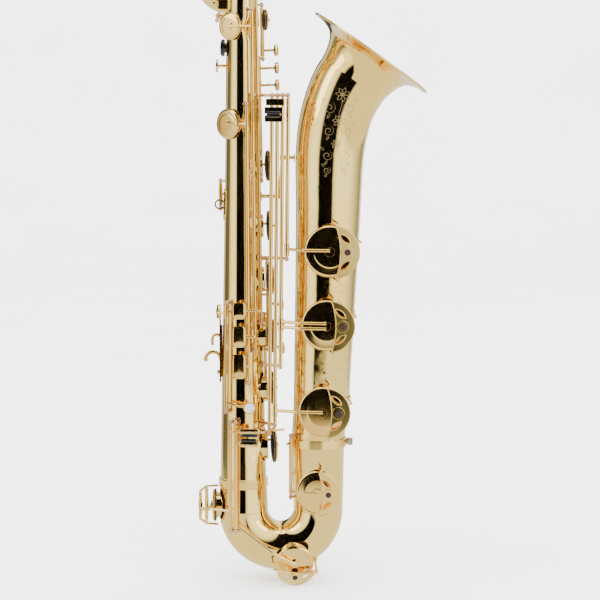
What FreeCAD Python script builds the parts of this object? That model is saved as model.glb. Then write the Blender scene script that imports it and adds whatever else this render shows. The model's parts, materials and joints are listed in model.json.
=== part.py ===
import FreeCAD, Part
import math
import os
import re
from FreeCAD import Placement, Rotation, Vector

# Baritone saxophone, low A model.  Millimetres, +Z up, the bell opens towards +X, the player is at -X
# and the key guards face -Y.  The origin is the centre of the strap ring, from which the instrument hangs.
# Heights below are measured from the lowest guard of the bow, and X and Y from the axis of the body tube.

SIZES = {
    # where the strap ring is
    "ring_reach": 28.5,
    "ring_height": 469,
    "ring_bore_radius": 4.5,
    "ring_outer_radius": 6.4,
    "ring_thickness": 3,
    "lyre_bore_radius": 2.6,
    "lyre_length": 14,
    # conical body tube
    "body_foot": 118.4,
    "body_head": 1015,
    "body_foot_radius": 29,
    "body_head_radius": 12,
    "tube_wall": 1,
    # bow and its two clamp rings
    "bow_centre_height": 83.2,
    "bow_bend_radius": 47.2,
    "bow_start_radius": 29.5,
    "bow_middle_radius": 31,
    "bow_end_radius": 33,
    "bow_start_height": 118,
    "bow_end_height": 170,
    "clamp_width": 10,
    "clamp_thickness": 1.6,
    # bell
    "bell_foot_radius": 33.2,
    "bell_waist_radius": 41.9,
    "bell_throat_radius": 46,
    "bell_rim_radius": 83.4,
    "rim_wire_radius": 1.5,
    "rim_height": 655.5,
    "rim_reach": 159.4,
    "bell_tilt": 35.3,
    "flare_depth": 40,
    # loop of tube behind the body, upper bow, neck
    "upper_bow_radius": 12,
    "loop_radius": 11,
    "loop_wall": 1,
    "loop_bottom": 750,
    "loop_left_reach": -49,
    "loop_left_depth": 20,
    "loop_right_reach": 13,
    "loop_right_depth": 50,
    "receiver_height": 960,
    "neck_radius": 9.5,
    "neck_tip_radius": 7.5,
    "neck_bend_radius": 45,
    "neck_bend_angle": 100,
    "neck_straight": 50,
    "cork_length": 26,
    "cork_radius": 8.6,
    "mouthpiece_length": 100,
    "mouthpiece_radius": 13,
    "mouthpiece_bore": 8.7,
    # key work
    "rod_radius": 1.5,
    "barrel_bore": 1.56,
    "barrel_radius": 2.5,
    "head_radius": 2.9,
    "post_radius": 1.6,
    "arm_radius": 1.7,
    "chimney_rise": 3,
    "chimney_wall": 1.2,
    "pad_gap": 0.4,
    "cup_depth": 4.5,
    "cup_lip": 4,
    "pearl_radius": 7,
    "guard_thickness": 1.5,
    "guard_wire": 1.45,
    "guard_clearance": 3.2,
    "bumper_radius": 4,
    "boss_radius": 7.5,
    "spring_radius": 0.4,
}

doc = FreeCAD.newDocument("BaritoneSaxophone")
sheet = doc.addObject("Spreadsheet::Sheet", "Sizes")
for line, (word, number) in enumerate(SIZES.items(), start=1):
    sheet.set("A%d" % line, word)
    sheet.set("B%d" % line, str(number))
    sheet.setAlias("B%d" % line, word)
doc.recompute()

X_AXIS = Vector(1, 0, 0)
Y_AXIS = Vector(0, 1, 0)
Z_AXIS = Vector(0, 0, 1)
SUB_PARTS = {}
HINGES = {}


def size(word):
    """The number in the sheet's cell with this alias."""
    return float(sheet.get(word))


def at(x, y, height):
    """A point from the body tube's axis and the foot, in the part's own frame."""
    return Vector(x + size("ring_reach"), y, height - size("ring_height"))


def bind(item, prop, value):
    """A number is set as it is, and a text is an expression of the sheet's aliases."""
    if isinstance(value, str):
        item.setExpression(prop, re.sub(r"\b[a-z][a-z_]+\b", r"Sizes.\g<0>", value))
    else:
        setattr(item, prop, value)


def solid(kind, name, place, **sizes):
    item = doc.addObject("Part::" + kind, name)
    for prop, value in sizes.items():
        bind(item, prop, value)
    item.Placement = place
    return item


def facing(point, way, spin=0):
    """A placement at a point with its local Z along a direction."""
    return Placement(point, Rotation(Z_AXIS, way) * Rotation(Z_AXIS, spin))


def shift(x, y, z):
    return Placement(Vector(x, y, z), Rotation())


def rod(start, end, radius, name="rod"):
    way = end - start
    return solid("Cylinder", name, facing(start, way), Radius=radius, Height=way.Length)


def disc(place, radius, thickness, name="disc"):
    return solid("Cylinder", name, place, Radius=radius, Height=thickness)


def ball(point, radius, name="ball", way=Z_AXIS):
    """A sphere with its poles along the way."""
    return solid("Sphere", name, facing(point, way), Radius=radius)


def block(place, x, y, z, name="block"):
    """A box centred on its placement in X and Y, and standing on it in Z."""
    item = solid("Box", name, place * shift(-x / 2, -y / 2, 0), Length=x, Width=y, Height=z)
    return item


def ring(place, radius, wire, name="ring"):
    return solid("Torus", name, place, Radius1=radius, Radius2=wire)


def join(name, pieces):
    item = doc.addObject("Part::MultiFuse", name)
    item.Shapes = pieces
    return item


def group(name, pieces):
    item = doc.addObject("Part::Compound", name)
    item.Links = pieces
    return item


def cut(name, base, tools):
    item = doc.addObject("Part::Cut", name)
    item.Base = base
    item.Tool = tools[0] if len(tools) == 1 else join(name + "_tools", tools)
    return item


def common(name, first, second):
    item = doc.addObject("Part::Common", name)
    item.Base = first
    item.Tool = second
    return item


def sub_part(label, item):
    item.Label = label
    SUB_PARTS[label] = item
    return item


def sleeve(start, end, outer, bore, name="sleeve"):
    """A straight tube, its bore as long as it is."""
    return cut(name, rod(start, end, outer), [rod(start, end, bore)])


# ---------------------------------------------------------------- tubes along a route

class Pipe:
    """A tube built piece by piece along its centreline.  Local Z of its place runs along it."""

    def __init__(self, point, rotation=Rotation(), wall="loop_wall"):
        self.place = Placement(point, rotation)
        self.wall = wall
        self.pieces = []

    def run(self, length, start_radius, end_radius):
        """A straight length, cylinder or cone.  Radii are expressions of the sheet's aliases."""
        skins = []
        for inset in ("", " - " + self.wall):
            if start_radius == end_radius:
                skins.append(disc(self.place, start_radius + inset, length, "pipe_run"))
            else:
                skins.append(solid("Cone", "pipe_run", self.place, Radius1=start_radius + inset,
                                   Radius2=end_radius + inset, Height=length))
        self.pieces.append(cut("pipe_run_wall", skins[0], [skins[1]]))
        self.place = self.place * shift(0, 0, length)
        return self

    def bend(self, axis, bend_radius, degrees, tube_radius):
        """A bend about an axis, given in the part's frame, that is square to the tube."""
        way = self.place.Rotation.multVec(Z_AXIS)
        outward = way.cross(axis)
        centre = self.place.Base - outward * bend_radius
        local = Placement(centre, Rotation(outward, axis.cross(outward), axis, "ZXY"))
        skins = [solid("Torus", "pipe_bend", local, Radius1=bend_radius, Radius2=tube_radius + inset, Angle3=degrees)
                 for inset in ("", " - " + self.wall)]
        self.pieces.append(cut("pipe_bend_wall", skins[0], [skins[1]]))
        self.place = turn_about(centre, axis, degrees) * self.place
        return self

    def tube(self, name):
        return join(name, self.pieces)


def turn_about(point, axis, degrees):
    """The placement that rotates things about a line."""
    rotation = Rotation(axis, degrees)
    return Placement(point - rotation.multVec(point), rotation)


def bent_tube(name, stations, outer_radii, bore_stations, bore_radii):
    """A tube of changing radius along a bent centreline: skin, lining and two end faces sewn to one solid."""
    def hoops(places, radii):
        made = []
        for place, radius in zip(places, radii):
            hoop = Part.Wire([Part.Circle(Vector(), Z_AXIS, radius).toShape()])
            hoop.Placement = place
            made.append(hoop)
        return made
    outer = hoops(stations, outer_radii)
    inner = hoops(bore_stations, bore_radii)
    faces = Part.makeLoft(outer, False, False).Faces + Part.makeLoft(inner, False, False).Faces
    for last in (0, -1):
        faces += Part.makeRuledSurface(outer[last].Edges[0], inner[last].Edges[0]).Faces
    shell = Part.Shell(faces)
    shell.sewShape()
    wall = Part.Solid(shell)
    if wall.Volume < 0:
        wall.reverse()
    item = doc.addObject("Part::Feature", name)
    item.Shape = wall
    return item


# ---------------------------------------------------------------- body tube

TAPER = (size("body_foot_radius") - size("body_head_radius")) / (size("body_head") - size("body_foot"))
SLOPE = math.degrees(math.atan(TAPER))


def body_radius(height):
    return size("body_foot_radius") - (height - size("body_foot")) * TAPER


def wall_seat(height, azimuth):
    """On the body tube: local Z points out of the wall, local X down along it."""
    angle = math.radians(azimuth)
    radius = body_radius(height)
    point = at(radius * math.cos(angle), radius * math.sin(angle), height)
    return Placement(point, Rotation(Z_AXIS, azimuth) * Rotation(Y_AXIS, 90 - SLOPE))


class Cup:
    """A key cup over its tone hole, at its seat on a tube's wall."""

    def __init__(self, seat, radius, wall=None, bent=False):
        self.seat = seat
        self.radius = radius
        self.wall = wall
        self.bent = bent

    def point(self, x, y, z):
        return self.seat.multVec(Vector(x, y, z))

    def chimney(self):
        base = self.seat * shift(0, 0, -self.radius * 0.55)
        return disc(base, self.radius - size("cup_lip"), self.radius * 0.55 + size("chimney_rise"), "chimney")

    def lining(self):
        """What is cut from the chimney so that it ends inside the tube's wall."""
        inside = self.wall - 0.5
        if self.bent:
            return ball(self.point(0, 0, -self.wall), inside, "chimney_lining")
        along = Placement(self.point(-2 * self.radius, 0, -self.wall), self.seat.Rotation * Rotation(Y_AXIS, 90))
        return disc(along, inside, 4 * self.radius, "chimney_lining")

    def hole(self):
        base = self.seat * shift(0, 0, -self.radius * 0.55 - 1)
        bore = self.radius - size("cup_lip") - size("chimney_wall")
        return disc(base, bore, self.radius * 0.55 + 2 + size("chimney_rise"), "tone_hole")

    def under(self):
        return size("chimney_rise") + size("pad_gap")

    def top(self):
        return self.under() + size("cup_depth")

    def shell(self):
        """The pressed cup with its pad: a disc, a stepped crown and a rounded lip."""
        lower = disc(self.seat * shift(0, 0, self.under()), self.radius, "cup_depth - 1", "cup")
        crown = disc(self.seat * shift(0, 0, self.under()), self.radius - 2.2, "cup_depth", "cup_crown")
        return [lower, crown]


def with_tone_holes(name, wall, cups):
    """A tube's wall with a drawn chimney round each tone hole, open into the bore."""
    collars = [cut("chimney_collar", cup.chimney(), [cup.lining()]) for cup in cups]
    return cut(name, join(name + "_mass", [wall] + collars), [cup.hole() for cup in cups])


# name: height of the cup above the foot, azimuth on the body, cup radius
BODY_HOLES = {
    "d": (164.3, 0, 21.5),
    "e": (237.4, 0, 20),
    "f": (304.3, 0, 21),
    "fsharp": (375.5, 0, 19.5),
    "g": (441.8, 0, 18.5),
    "gsharp": (480, 110, 15),
    "a": (516.8, 0, 18.5),
    "b": (696, 0, 12.5),
    "c": (742, 0, 11),
    "side_bflat": (569, -131, 18),
    "side_c": (688, -126, 16),
    "high_e": (812, -95, 12),
    "palm_d": (786, 0, 11),
    "palm_eflat": (828, 0, 11),
    "palm_f": (872, 0, 10.5),
}
CUPS = {name: Cup(wall_seat(height, azimuth), radius)
        for name, (height, azimuth, radius) in BODY_HOLES.items()}


def body_tube():
    foot = facing(at(0, 0, size("body_foot")), Z_AXIS)
    outside = solid("Cone", "body_outside", foot, Radius1="body_foot_radius",
                    Radius2="body_head_radius", Height="body_head - body_foot")
    bore = solid("Cone", "body_bore", foot, Radius1="body_foot_radius - tube_wall",
                 Radius2="body_head_radius - tube_wall", Height="body_head - body_foot")
    ferrule = disc(foot, "bow_start_radius", 7, "ferrule")
    chimneys = [cup.chimney() for cup in CUPS.values()]
    holes = [cup.hole() for cup in CUPS.values()]
    return cut("body_wall", join("body_mass", [outside, ferrule] + chimneys), [bore] + holes)


sub_part("body_tube", body_tube())


# ---------------------------------------------------------------- bow, bell and clamp rings

BOW_SPAN = 2 * size("bow_bend_radius")


def bow_pipe():
    pipe = Pipe(at(0, 0, size("bow_start_height")), Rotation(Y_AXIS, 180), "tube_wall")
    pipe.run(size("bow_start_height") - size("bow_centre_height"), "bow_start_radius", "bow_middle_radius")
    pipe.bend(Vector(0, -1, 0), size("bow_bend_radius"), 180, "bow_middle_radius")
    pipe.run(size("bow_end_height") - size("bow_centre_height"), "bow_middle_radius", "bow_end_radius")
    return pipe


def bow_seat(degrees, lean):
    """On the bow: how far round from the body's side, and how far the seat leans out of the -Y side."""
    angle = math.radians(degrees)
    tilt = math.radians(lean)
    outward = Vector(-math.cos(angle), 0, -math.sin(angle))
    normal = outward * math.sin(tilt) + Vector(0, -1, 0) * math.cos(tilt)
    centre = at(size("bow_bend_radius"), 0, size("bow_centre_height"))
    return Placement(centre + outward * size("bow_bend_radius") + normal * size("bow_middle_radius"), Rotation(Z_AXIS, normal))


def leg_seat(x, height, radius, azimuth):
    """On an upright leg of the bow or the bell: local Z out of the wall, local X down."""
    angle = math.radians(azimuth)
    point = at(x + radius * math.cos(angle), radius * math.sin(angle), height)
    return Placement(point, Rotation(Z_AXIS, azimuth) * Rotation(Y_AXIS, 90))


BELL_STATIONS = ((94.7, 170.3, 33.2), (98.7, 227, 35), (100.7, 287, 36.3), (103, 347, 37.6),
                 (105.1, 407, 39.2), (106.9, 467, 40.5), (107.6, 512, 41.9))


def bell_side(height):
    """Centre and radius of the bell tube at a height below its bend."""
    for low, high in zip(BELL_STATIONS, BELL_STATIONS[1:]):
        if height <= high[1]:
            share = (height - low[1]) / (high[1] - low[1])
            return low[0] + share * (high[0] - low[0]), low[2] + share * (high[2] - low[2])
    return BELL_STATIONS[-1][0], BELL_STATIONS[-1][2]


def bell_cup(x, height, radius):
    centre, wall = bell_side(height)
    azimuth = -90 + math.degrees(math.asin((x - centre) / (wall + 6)))
    return Cup(leg_seat(centre, height, wall, azimuth), radius, wall)


CUPS["low_a"] = bell_cup(110.3, 414.3, 31)
CUPS["low_bflat"] = bell_cup(105.6, 323, 30.5)
CUPS["low_b"] = bell_cup(101, 215.5, 30)
CUPS["low_csharp"] = Cup(leg_seat(94.4, 112, 31.7, -92), 26, 31.2)
CUPS["low_c"] = Cup(bow_seat(107, 23), 23, 31, True)
CUPS["low_eflat"] = Cup(leg_seat(0, 88, 30.8, 180), 20, 30.8)


def bow():
    cups = [CUPS["low_csharp"], CUPS["low_c"], CUPS["low_eflat"]]
    return with_tone_holes("bow_wall", bow_pipe().tube("bow_pipe"), cups)


sub_part("bow", bow())


def bell_centreline():
    """Stations of the bell's tube: an upright leg, then a bend whose curve tightens up to the throat."""
    legs = [at(x, 0, height) for x, height, radius in BELL_STATIONS]
    stations = []
    steps = 12
    low = BELL_STATIONS[0][1]
    high = BELL_STATIONS[-1][1]
    for step in range(steps + 1):
        height = low + (high - low) * step / steps
        x, radius = bell_side(height)
        stations.append((at(x, 0, height), 0 if step == 0 else 1.6, radius))
    tilt = math.radians(size("bell_tilt"))
    axis = Vector(math.sin(tilt), 0, math.cos(tilt))
    rim = at(size("rim_reach"), 0, size("rim_height"))
    throat = rim - axis * size("flare_depth")
    start = legs[-1]
    pull = (throat - start).Length
    leave = Vector(math.sin(math.radians(1.6)), 0, math.cos(math.radians(1.6))) * pull
    arrive = axis * pull
    for share in (0.25, 0.5, 0.75, 1):
        square = share * share
        cube = square * share
        point = (start * (2 * cube - 3 * square + 1) + leave * (cube - 2 * square + share)
                 + throat * (3 * square - 2 * cube) + arrive * (cube - square))
        way = (start * (6 * square - 6 * share) + leave * (3 * square - 4 * share + 1)
               + throat * (6 * share - 6 * square) + arrive * (3 * square - 2 * share))
        lean = math.degrees(math.atan2(way.x, way.z))
        radius = size("bell_waist_radius") + share * (size("bell_throat_radius") - size("bell_waist_radius"))
        stations.append((point, lean, radius))
    return stations, rim, axis


# distance below the rim plane and radius, from the throat to the rim
FLARE = ((40, 46), (32, 47.3), (24, 49.2), (17, 51.7), (11, 55), (7, 59), (4, 65.5), (1.8, 74), (0, 83.4))


def flare(rim):
    """The flared end, turned about the bell's axis from a smooth profile of constant wall."""
    wall = size("tube_wall")
    skin = []
    lining = []
    for place, (depth, radius) in enumerate(FLARE):
        before = FLARE[max(place - 1, 0)]
        after = FLARE[min(place + 1, len(FLARE) - 1)]
        along = before[0] - after[0]
        across = after[1] - before[1]
        whole = math.hypot(along, across)
        if place == 0:
            along, across, whole = 1, 0, 1
        skin.append(Vector(radius, 0, -depth))
        lining.append(Vector(radius - wall * along / whole, 0, -depth + wall * across / whole))
    curves = []
    for points in (skin, lining):
        curve = Part.BSplineCurve()
        curve.interpolate(points)
        curves.append(curve.toShape())
    ends = [Part.makeLine(skin[last], lining[last]) for last in (0, -1)]
    profile = Part.Face(Part.Wire([curves[0], ends[1], curves[1], ends[0]]))
    item = doc.addObject("Part::Feature", "flare")
    item.Shape = profile.revolve(Vector(), Z_AXIS, 360)
    item.Placement = Placement(rim, Rotation(Y_AXIS, size("bell_tilt")))
    return item


def bell():
    stations, rim, axis = bell_centreline()
    places = [Placement(point, Rotation(Y_AXIS, lean)) for point, lean, radius in stations]
    radii = [radius for point, lean, radius in stations]
    tube = bent_tube("bell_tube", places, radii, places, [radius - size("tube_wall") for radius in radii])
    cups = [CUPS["low_a"], CUPS["low_bflat"], CUPS["low_b"]]
    wire = ring(facing(rim + axis * 0.3, axis), "bell_rim_radius - 0.2", "rim_wire_radius", "rim_wire")
    return join("bell_wall", [with_tone_holes("bell_shell", tube, cups), flare(rim), wire])


sub_part("bell", bell())


def clamp_ring(label, x, height, tilt, bore, screw_azimuth):
    """A split band round a joint of two tubes, with a lug on each side of the split."""
    half = size("clamp_width") / 2
    middle = Placement(at(x, 0, height), Rotation(Y_AXIS, tilt))
    base = middle * shift(0, 0, -half)
    band = disc(base, bore + size("clamp_thickness"), "clamp_width", label + "_band")
    inner = disc(base, bore, "clamp_width", label + "_bore")
    turn = Placement(Vector(), Rotation(Z_AXIS, screw_azimuth))
    reach = bore + size("clamp_thickness") - 0.6
    lugs = [block(base * turn * shift(reach + 4, side * 3.4, 1.5), 9, 2.2, 7, label + "_lug")
            for side in (-1, 1)]
    split = block(base * turn * shift(bore, 0, -1), 8, 2, size("clamp_width") + 2, label + "_split")
    return sub_part(label, cut(label + "_cut", join(label + "_mass", [band] + lugs), [inner, split]))


BODY_CLAMP = (0, 118.2, 0, size("bow_start_radius") + 0.05, 65)
BELL_CLAMP = (BOW_SPAN + 0.3, 170.2, 0, size("bell_foot_radius") + 0.5, 0)
clamp_ring("body_clamp_ring", *BODY_CLAMP)
clamp_ring("bell_clamp_ring", *BELL_CLAMP)


def clamp_screw(x, height, tilt, bore, azimuth):
    middle = Placement(at(x, 0, height), Rotation(Y_AXIS, tilt)) * Placement(Vector(), Rotation(Z_AXIS, azimuth))
    reach = bore + size("clamp_thickness") + 4.4
    across = middle * Placement(Vector(reach, -9, 0), Rotation(X_AXIS, -90))
    shank = disc(across, 1.4, 18, "clamp_shank")
    head = disc(across * shift(0, 0, -3), 3.4, 3, "clamp_head")
    nut = disc(across * shift(0, 0, 14), 2.6, 2.5, "clamp_nut")
    return join("clamp_screw", [shank, head, nut])


sub_part("clamp_screws", group("clamp_screw_set", [clamp_screw(*BODY_CLAMP), clamp_screw(*BELL_CLAMP)]))


# ---------------------------------------------------------------- upper bow, loop, neck, mouthpiece

LOOP_LEFT = Vector(size("loop_left_reach"), size("loop_left_depth"), 0)
LOOP_RIGHT = Vector(size("loop_right_reach"), size("loop_right_depth"), 0)


def half_turn(start, finish, upward):
    """Axis and radius of the U of tube from one upright line to another."""
    span = finish - start
    way = Z_AXIS if upward else Z_AXIS * -1
    return way.cross(Vector(span).normalize()), span.Length / 2


def band(place, radius, wire=1.3):
    """A turned band soldered round the end of a tube."""
    bore = disc(place * shift(0, 0, -wire), radius, 2 * wire, "band_bore")
    return cut("band", ring(place, radius + 0.3, wire, "band_ring"), [bore])


def upper_bow():
    axis, radius = half_turn(Vector(), LOOP_LEFT, True)
    pipe = Pipe(at(0, 0, size("body_head") + 0.1)).bend(axis, radius, 180, "upper_bow_radius")
    start = facing(at(0, 0, size("body_head") + 1.6), Z_AXIS)
    end = facing(pipe.place.Base + Z_AXIS * 1.6, Z_AXIS)
    bands = [band(start, size("upper_bow_radius") - 0.2), band(end, size("upper_bow_radius") - 0.2)]
    return join("upper_bow_wall", pipe.pieces + bands)


sub_part("upper_bow", upper_bow())


def loop_tube():
    axis, radius = half_turn(LOOP_LEFT, LOOP_RIGHT, False)
    start = at(LOOP_LEFT.x, LOOP_LEFT.y, size("body_head") - 0.1)
    pipe = Pipe(start, Rotation(X_AXIS, 180))
    pipe.run(size("body_head") - size("loop_bottom"), "loop_radius + 0.4", "loop_radius")
    pipe.bend(axis, radius, 180, "loop_radius")
    pipe.run(size("receiver_height") - size("loop_bottom"), "loop_radius", "loop_radius - 0.6")
    return pipe.tube("loop_wall_solid")


sub_part("loop_tube", loop_tube())


def neck_receiver():
    foot = at(LOOP_RIGHT.x, LOOP_RIGHT.y, size("receiver_height") + 0.1)
    base = facing(foot, Z_AXIS)
    tube = disc(base, 13, 25, "receiver")
    lip = disc(base * shift(0, 0, 20), 14.2, 5, "receiver_lip")
    lugs = [block(base * shift(16.5, side * 2.6, 14), 7, 2.2, 9, "receiver_lug") for side in (-1, 1)]
    bore = disc(base, 10.65, 25, "receiver_bore")
    slit = block(base * shift(13, 0, 12), 10, 1.6, 14, "receiver_slit")
    return cut("receiver_wall", join("receiver_mass", [tube, lip] + lugs), [bore, slit])


sub_part("neck_receiver", neck_receiver())


def neck_screw():
    middle = at(LOOP_RIGHT.x + 17.5, LOOP_RIGHT.y, size("receiver_height") + 18.6)
    across = Placement(middle - Y_AXIS * 8, Rotation(X_AXIS, -90))
    shank = disc(across, 1.4, 16, "neck_screw_shank")
    wing = block(across * shift(0, 0, -9), 12, 2.2, 9, "neck_screw_wing")
    return join("neck_screw_solid", [shank, wing])


sub_part("neck_screw", neck_screw())

NECK_FOOT = at(LOOP_RIGHT.x, LOOP_RIGHT.y, size("receiver_height") + 1)


def neck_pipe():
    pipe = Pipe(NECK_FOOT + Z_AXIS * 26)
    pipe.run(14, "neck_radius + 0.8", "neck_radius")
    pipe.bend(Vector(0, -1, 0), size("neck_bend_radius"), size("neck_bend_angle"), "neck_radius")
    pipe.run(size("neck_straight"), "neck_radius", "neck_tip_radius + 0.6")
    pipe.run(size("cork_length"), "neck_tip_radius", "neck_tip_radius")
    return pipe


NECK = neck_pipe()
NECK_TIP = NECK.place


def neck():
    tenon = disc(facing(NECK_FOOT, Z_AXIS), 10.6, 26.2, "neck_tenon")
    collar = disc(facing(NECK_FOOT + Z_AXIS * 24.3, Z_AXIS), 13, 5, "neck_collar")
    bore = disc(facing(NECK_FOOT, Z_AXIS), 9.6, 29.3, "tenon_bore")
    return join("neck_wall", NECK.pieces + [cut("neck_socket", join("neck_tenon_mass", [tenon, collar]), [bore])])


sub_part("neck", neck())


def cork_place(along):
    """On the neck's last straight: how far back from its tip."""
    return NECK_TIP * shift(0, 0, -along)


def neck_cork():
    sleeve_solid = disc(cork_place(25), "cork_radius", 25, "cork")
    inner = disc(cork_place(25), size("neck_tip_radius") + 0.02, 25, "cork_bore")
    return cut("cork_wall", sleeve_solid, [inner])


sub_part("neck_cork", neck_cork())

MOUTH = cork_place(21)


def mouthpiece():
    """A shank and body of round section with a cut beak, a flat table below and a bore."""
    length = size("mouthpiece_length")
    body = solid("Cone", "mouthpiece_body", MOUTH, Radius1="mouthpiece_radius", Radius2="mouthpiece_radius - 1.6",
                 Height="mouthpiece_length")
    shank_band = disc(MOUTH, "mouthpiece_radius + 0.8", 9, "shank_band")
    bore = disc(MOUTH, "mouthpiece_bore", length * 0.55, "mouthpiece_bore_cut")
    beak = Placement(Vector(-5, 0, length + 1), Rotation(Y_AXIS, -21))
    beak_cut = block(MOUTH * beak * shift(15, 0, -62), 30, 40, 80, "beak_cut")
    table = block(MOUTH * shift(-20, 0, 12), 20.4, 40, length, "table_cut")
    window = block(MOUTH * shift(-8.4, 0, length * 0.5), 6, 12.5, length * 0.38, "window_cut")
    return cut("mouthpiece_solid", join("mouthpiece_mass", [body, shank_band]), [bore, beak_cut, table, window])


sub_part("mouthpiece", mouthpiece())


def reed():
    """A cane blade, thinned over its last third, lying on the mouthpiece's table."""
    length = size("mouthpiece_length") - 16
    base = MOUTH * shift(-9.85 - 1.5, 0, 15)
    blade = block(base, 3, 17, length, "reed_blade")
    slope = Placement(Vector(-3.1, 0, length * 0.55), Rotation(Y_AXIS, 3.6))
    thin = block(base * slope, 3.2, 24, length * 0.6, "reed_vamp_cut")
    return cut("reed_solid", blade, [thin])


sub_part("reed", reed())


def ligature():
    base = MOUTH * shift(0, 0, 24)
    band = disc(base, 15.4, 26, "ligature_band")
    inner = disc(base, 14.6, 26, "ligature_bore")
    slot = block(base * shift(-15.5, 0, 3), 6, 5, 20, "ligature_slot")
    ribs = [ring(base * shift(0, 0, along), 15.2, 0.8, "ligature_rib") for along in (1, 25)]
    screws = []
    for along in (7, 19):
        across = base * Placement(Vector(-18.6, -9, along), Rotation(X_AXIS, -90))
        screws.append(disc(across, 1.3, 24, "ligature_screw"))
        screws.append(disc(across * shift(0, 0, 18), 3.2, 7, "ligature_screw_head"))
        for side in (-5.5, 3.5):
            lug = block(base * shift(-17.2, side + 1, along - 3), 6.6, 2, 6, "ligature_lug")
            screws.append(lug)
    return join("ligature_solid", [cut("ligature_shell", join("ligature_mass", [band] + ribs), [inner, slot])] + screws)


sub_part("ligature", ligature())


# ---------------------------------------------------------------- fittings on the body

def saddle(height, azimuth, length, width, thickness, name):
    """A plate that follows the wall of the body tube, oval in outline."""
    low = height - length
    foot = facing(at(0, 0, low), Z_AXIS)
    span = 2 * length
    outer = solid("Cone", name + "_outer", foot, Radius1=body_radius(low) + thickness,
                  Radius2=body_radius(low + span) + thickness, Height=span)
    inner = solid("Cone", name + "_inner", foot, Radius1=body_radius(low) + 0.02,
                  Radius2=body_radius(low + span) + 0.02, Height=span)
    seat = wall_seat(height, azimuth) * shift(0, 0, -width * 0.5)
    ends = [disc(seat * shift(side * (length - width) / 2, 0, 0), width / 2, width + 4, name + "_end")
            for side in (-1, 1)]
    bar = block(seat, length - width, width, width + 4, name + "_bar")
    return common(name, cut(name + "_skin", outer, [inner]), join(name + "_outline", ends + [bar]))


def strap_ring():
    centre = at(-size("ring_reach"), 0, size("ring_height"))
    across = Placement(centre - Y_AXIS * (size("ring_thickness") / 2), Rotation(X_AXIS, -90))
    outer = disc(across, "ring_outer_radius", "ring_thickness", "strap_ring_outer")
    bore = disc(across, "ring_bore_radius", "ring_thickness", "strap_ring_bore")
    plate = saddle(size("ring_height"), 180, 39, 15, 1.6, "strap_plate")
    loop = cut("strap_ring_loop", outer, [bore])
    keep = disc(facing(centre - Z_AXIS * 30, Z_AXIS), 200, 60, "strap_keep")
    trim = solid("Cone", "strap_trim", facing(at(0, 0, 440), Z_AXIS), Radius1=body_radius(440) + 0.02,
                 Radius2=body_radius(500) + 0.02, Height=60)
    return join("strap_ring_solid", [cut("strap_loop_trim", common("strap_loop_keep", loop, keep), [trim]), plate])


sub_part("strap_ring", strap_ring())


def thumb_hook():
    """Right thumb hook: a slotted plate on two screws, a curved hook and an upper stop."""
    plate_x = -body_radius(285) - 2.6
    plate = block(facing(at(plate_x, 0, 246), Z_AXIS), 2, 13, 80, "hook_plate")
    rail = block(facing(at(plate_x + 1.6, 0, 252), Z_AXIS), 2.4, 5, 66, "hook_rail")
    bend = solid("Torus", "hook_bend", Placement(at(plate_x - 9, 0, 274), Rotation(X_AXIS, 90)),
                 Radius1=9.5, Radius2=2.4, Angle3=180)
    tip = ball(at(plate_x - 18.5, 0, 274), 2.9)
    stop = solid("Torus", "hook_stop", Placement(at(plate_x - 4.5, 0, 300), Rotation(X_AXIS, 90)),
                 Radius1=5.4, Radius2=1.8, Angle3=180)
    legs = [rod(at(plate_x - 9.9, 0, 300), at(plate_x - 9.9, 0, 292), 1.8),
            rod(at(plate_x + 0.9, 0, 300), at(plate_x + 0.9, 0, 292), 1.8)]
    screw = disc(facing(at(plate_x - 4.2, 0, 258), X_AXIS), 2.6, 4, "hook_screw")
    return join("thumb_hook_solid", [plate, rail, bend, tip, stop, screw] + legs)


sub_part("thumb_hook", thumb_hook())


def thumb_rest():
    """Left thumb rest: a round button in a seat, set on the body."""
    seat = wall_seat(662, 176)
    base = disc(seat * shift(0, 0, 0.05), 6, 3, "rest_base")
    button = disc(seat * shift(0, 0, 3), 10.5, 3.5, "rest_button")
    crown = disc(seat * shift(0, 0, 6.4), 8.6, 1.2, "rest_crown")
    return join("thumb_rest_solid", [base, button, crown])


sub_part("thumb_rest", thumb_rest())


LYRE_SEAT = wall_seat(716, 180)
LYRE_BORE = (LYRE_SEAT.multVec(Vector(0, 0, 5.6)), LYRE_SEAT.Rotation.multVec(Vector(-1, 0, 0)))


def lyre_socket():
    """A drilled block for the stem of a lyre, with its thumbscrew."""
    length = size("lyre_length")
    body = block(LYRE_SEAT * shift(0, 0, 0.1), length, 9, 11, "lyre_block")
    middle, up = LYRE_BORE
    bore = rod(middle - up * length, middle + up * length, "lyre_bore_radius", "lyre_bore")
    screw = disc(LYRE_SEAT * shift(0, 0, 9.2), 1.6, 7, "lyre_screw")
    head = disc(LYRE_SEAT * shift(0, 0, 15), 4, 3, "lyre_screw_head")
    return join("lyre_socket_solid", [cut("lyre_cut", body, [bore]), screw, head])


sub_part("lyre_socket", lyre_socket())


def bell_brace():
    """From a foot on the body, out and up to a ball joint and a foot on the bell."""
    body_foot = disc(wall_seat(479, 0) * shift(0, 0, 0.05), 6, 2, "brace_foot")
    knee = at(46, 0, 479)
    upper = at(50, 0, 527)
    bell_x = bell_side(527)[0] - bell_side(527)[1]
    bars = [rod(at(body_radius(479) + 1, 0, 479), knee, 2.4), rod(knee, upper, 2.4),
            rod(upper, at(bell_x - 0.4, 0, 527), 2.4)]
    bell_foot = disc(facing(at(bell_x - 1.9, 0, 527), X_AXIS), 6, 1.6, "brace_foot")
    balls = [ball(knee, 3.4), ball(upper, 4)]
    return join("bell_brace_solid", [body_foot, bell_foot] + bars + balls)


sub_part("bell_brace", bell_brace())


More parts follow.
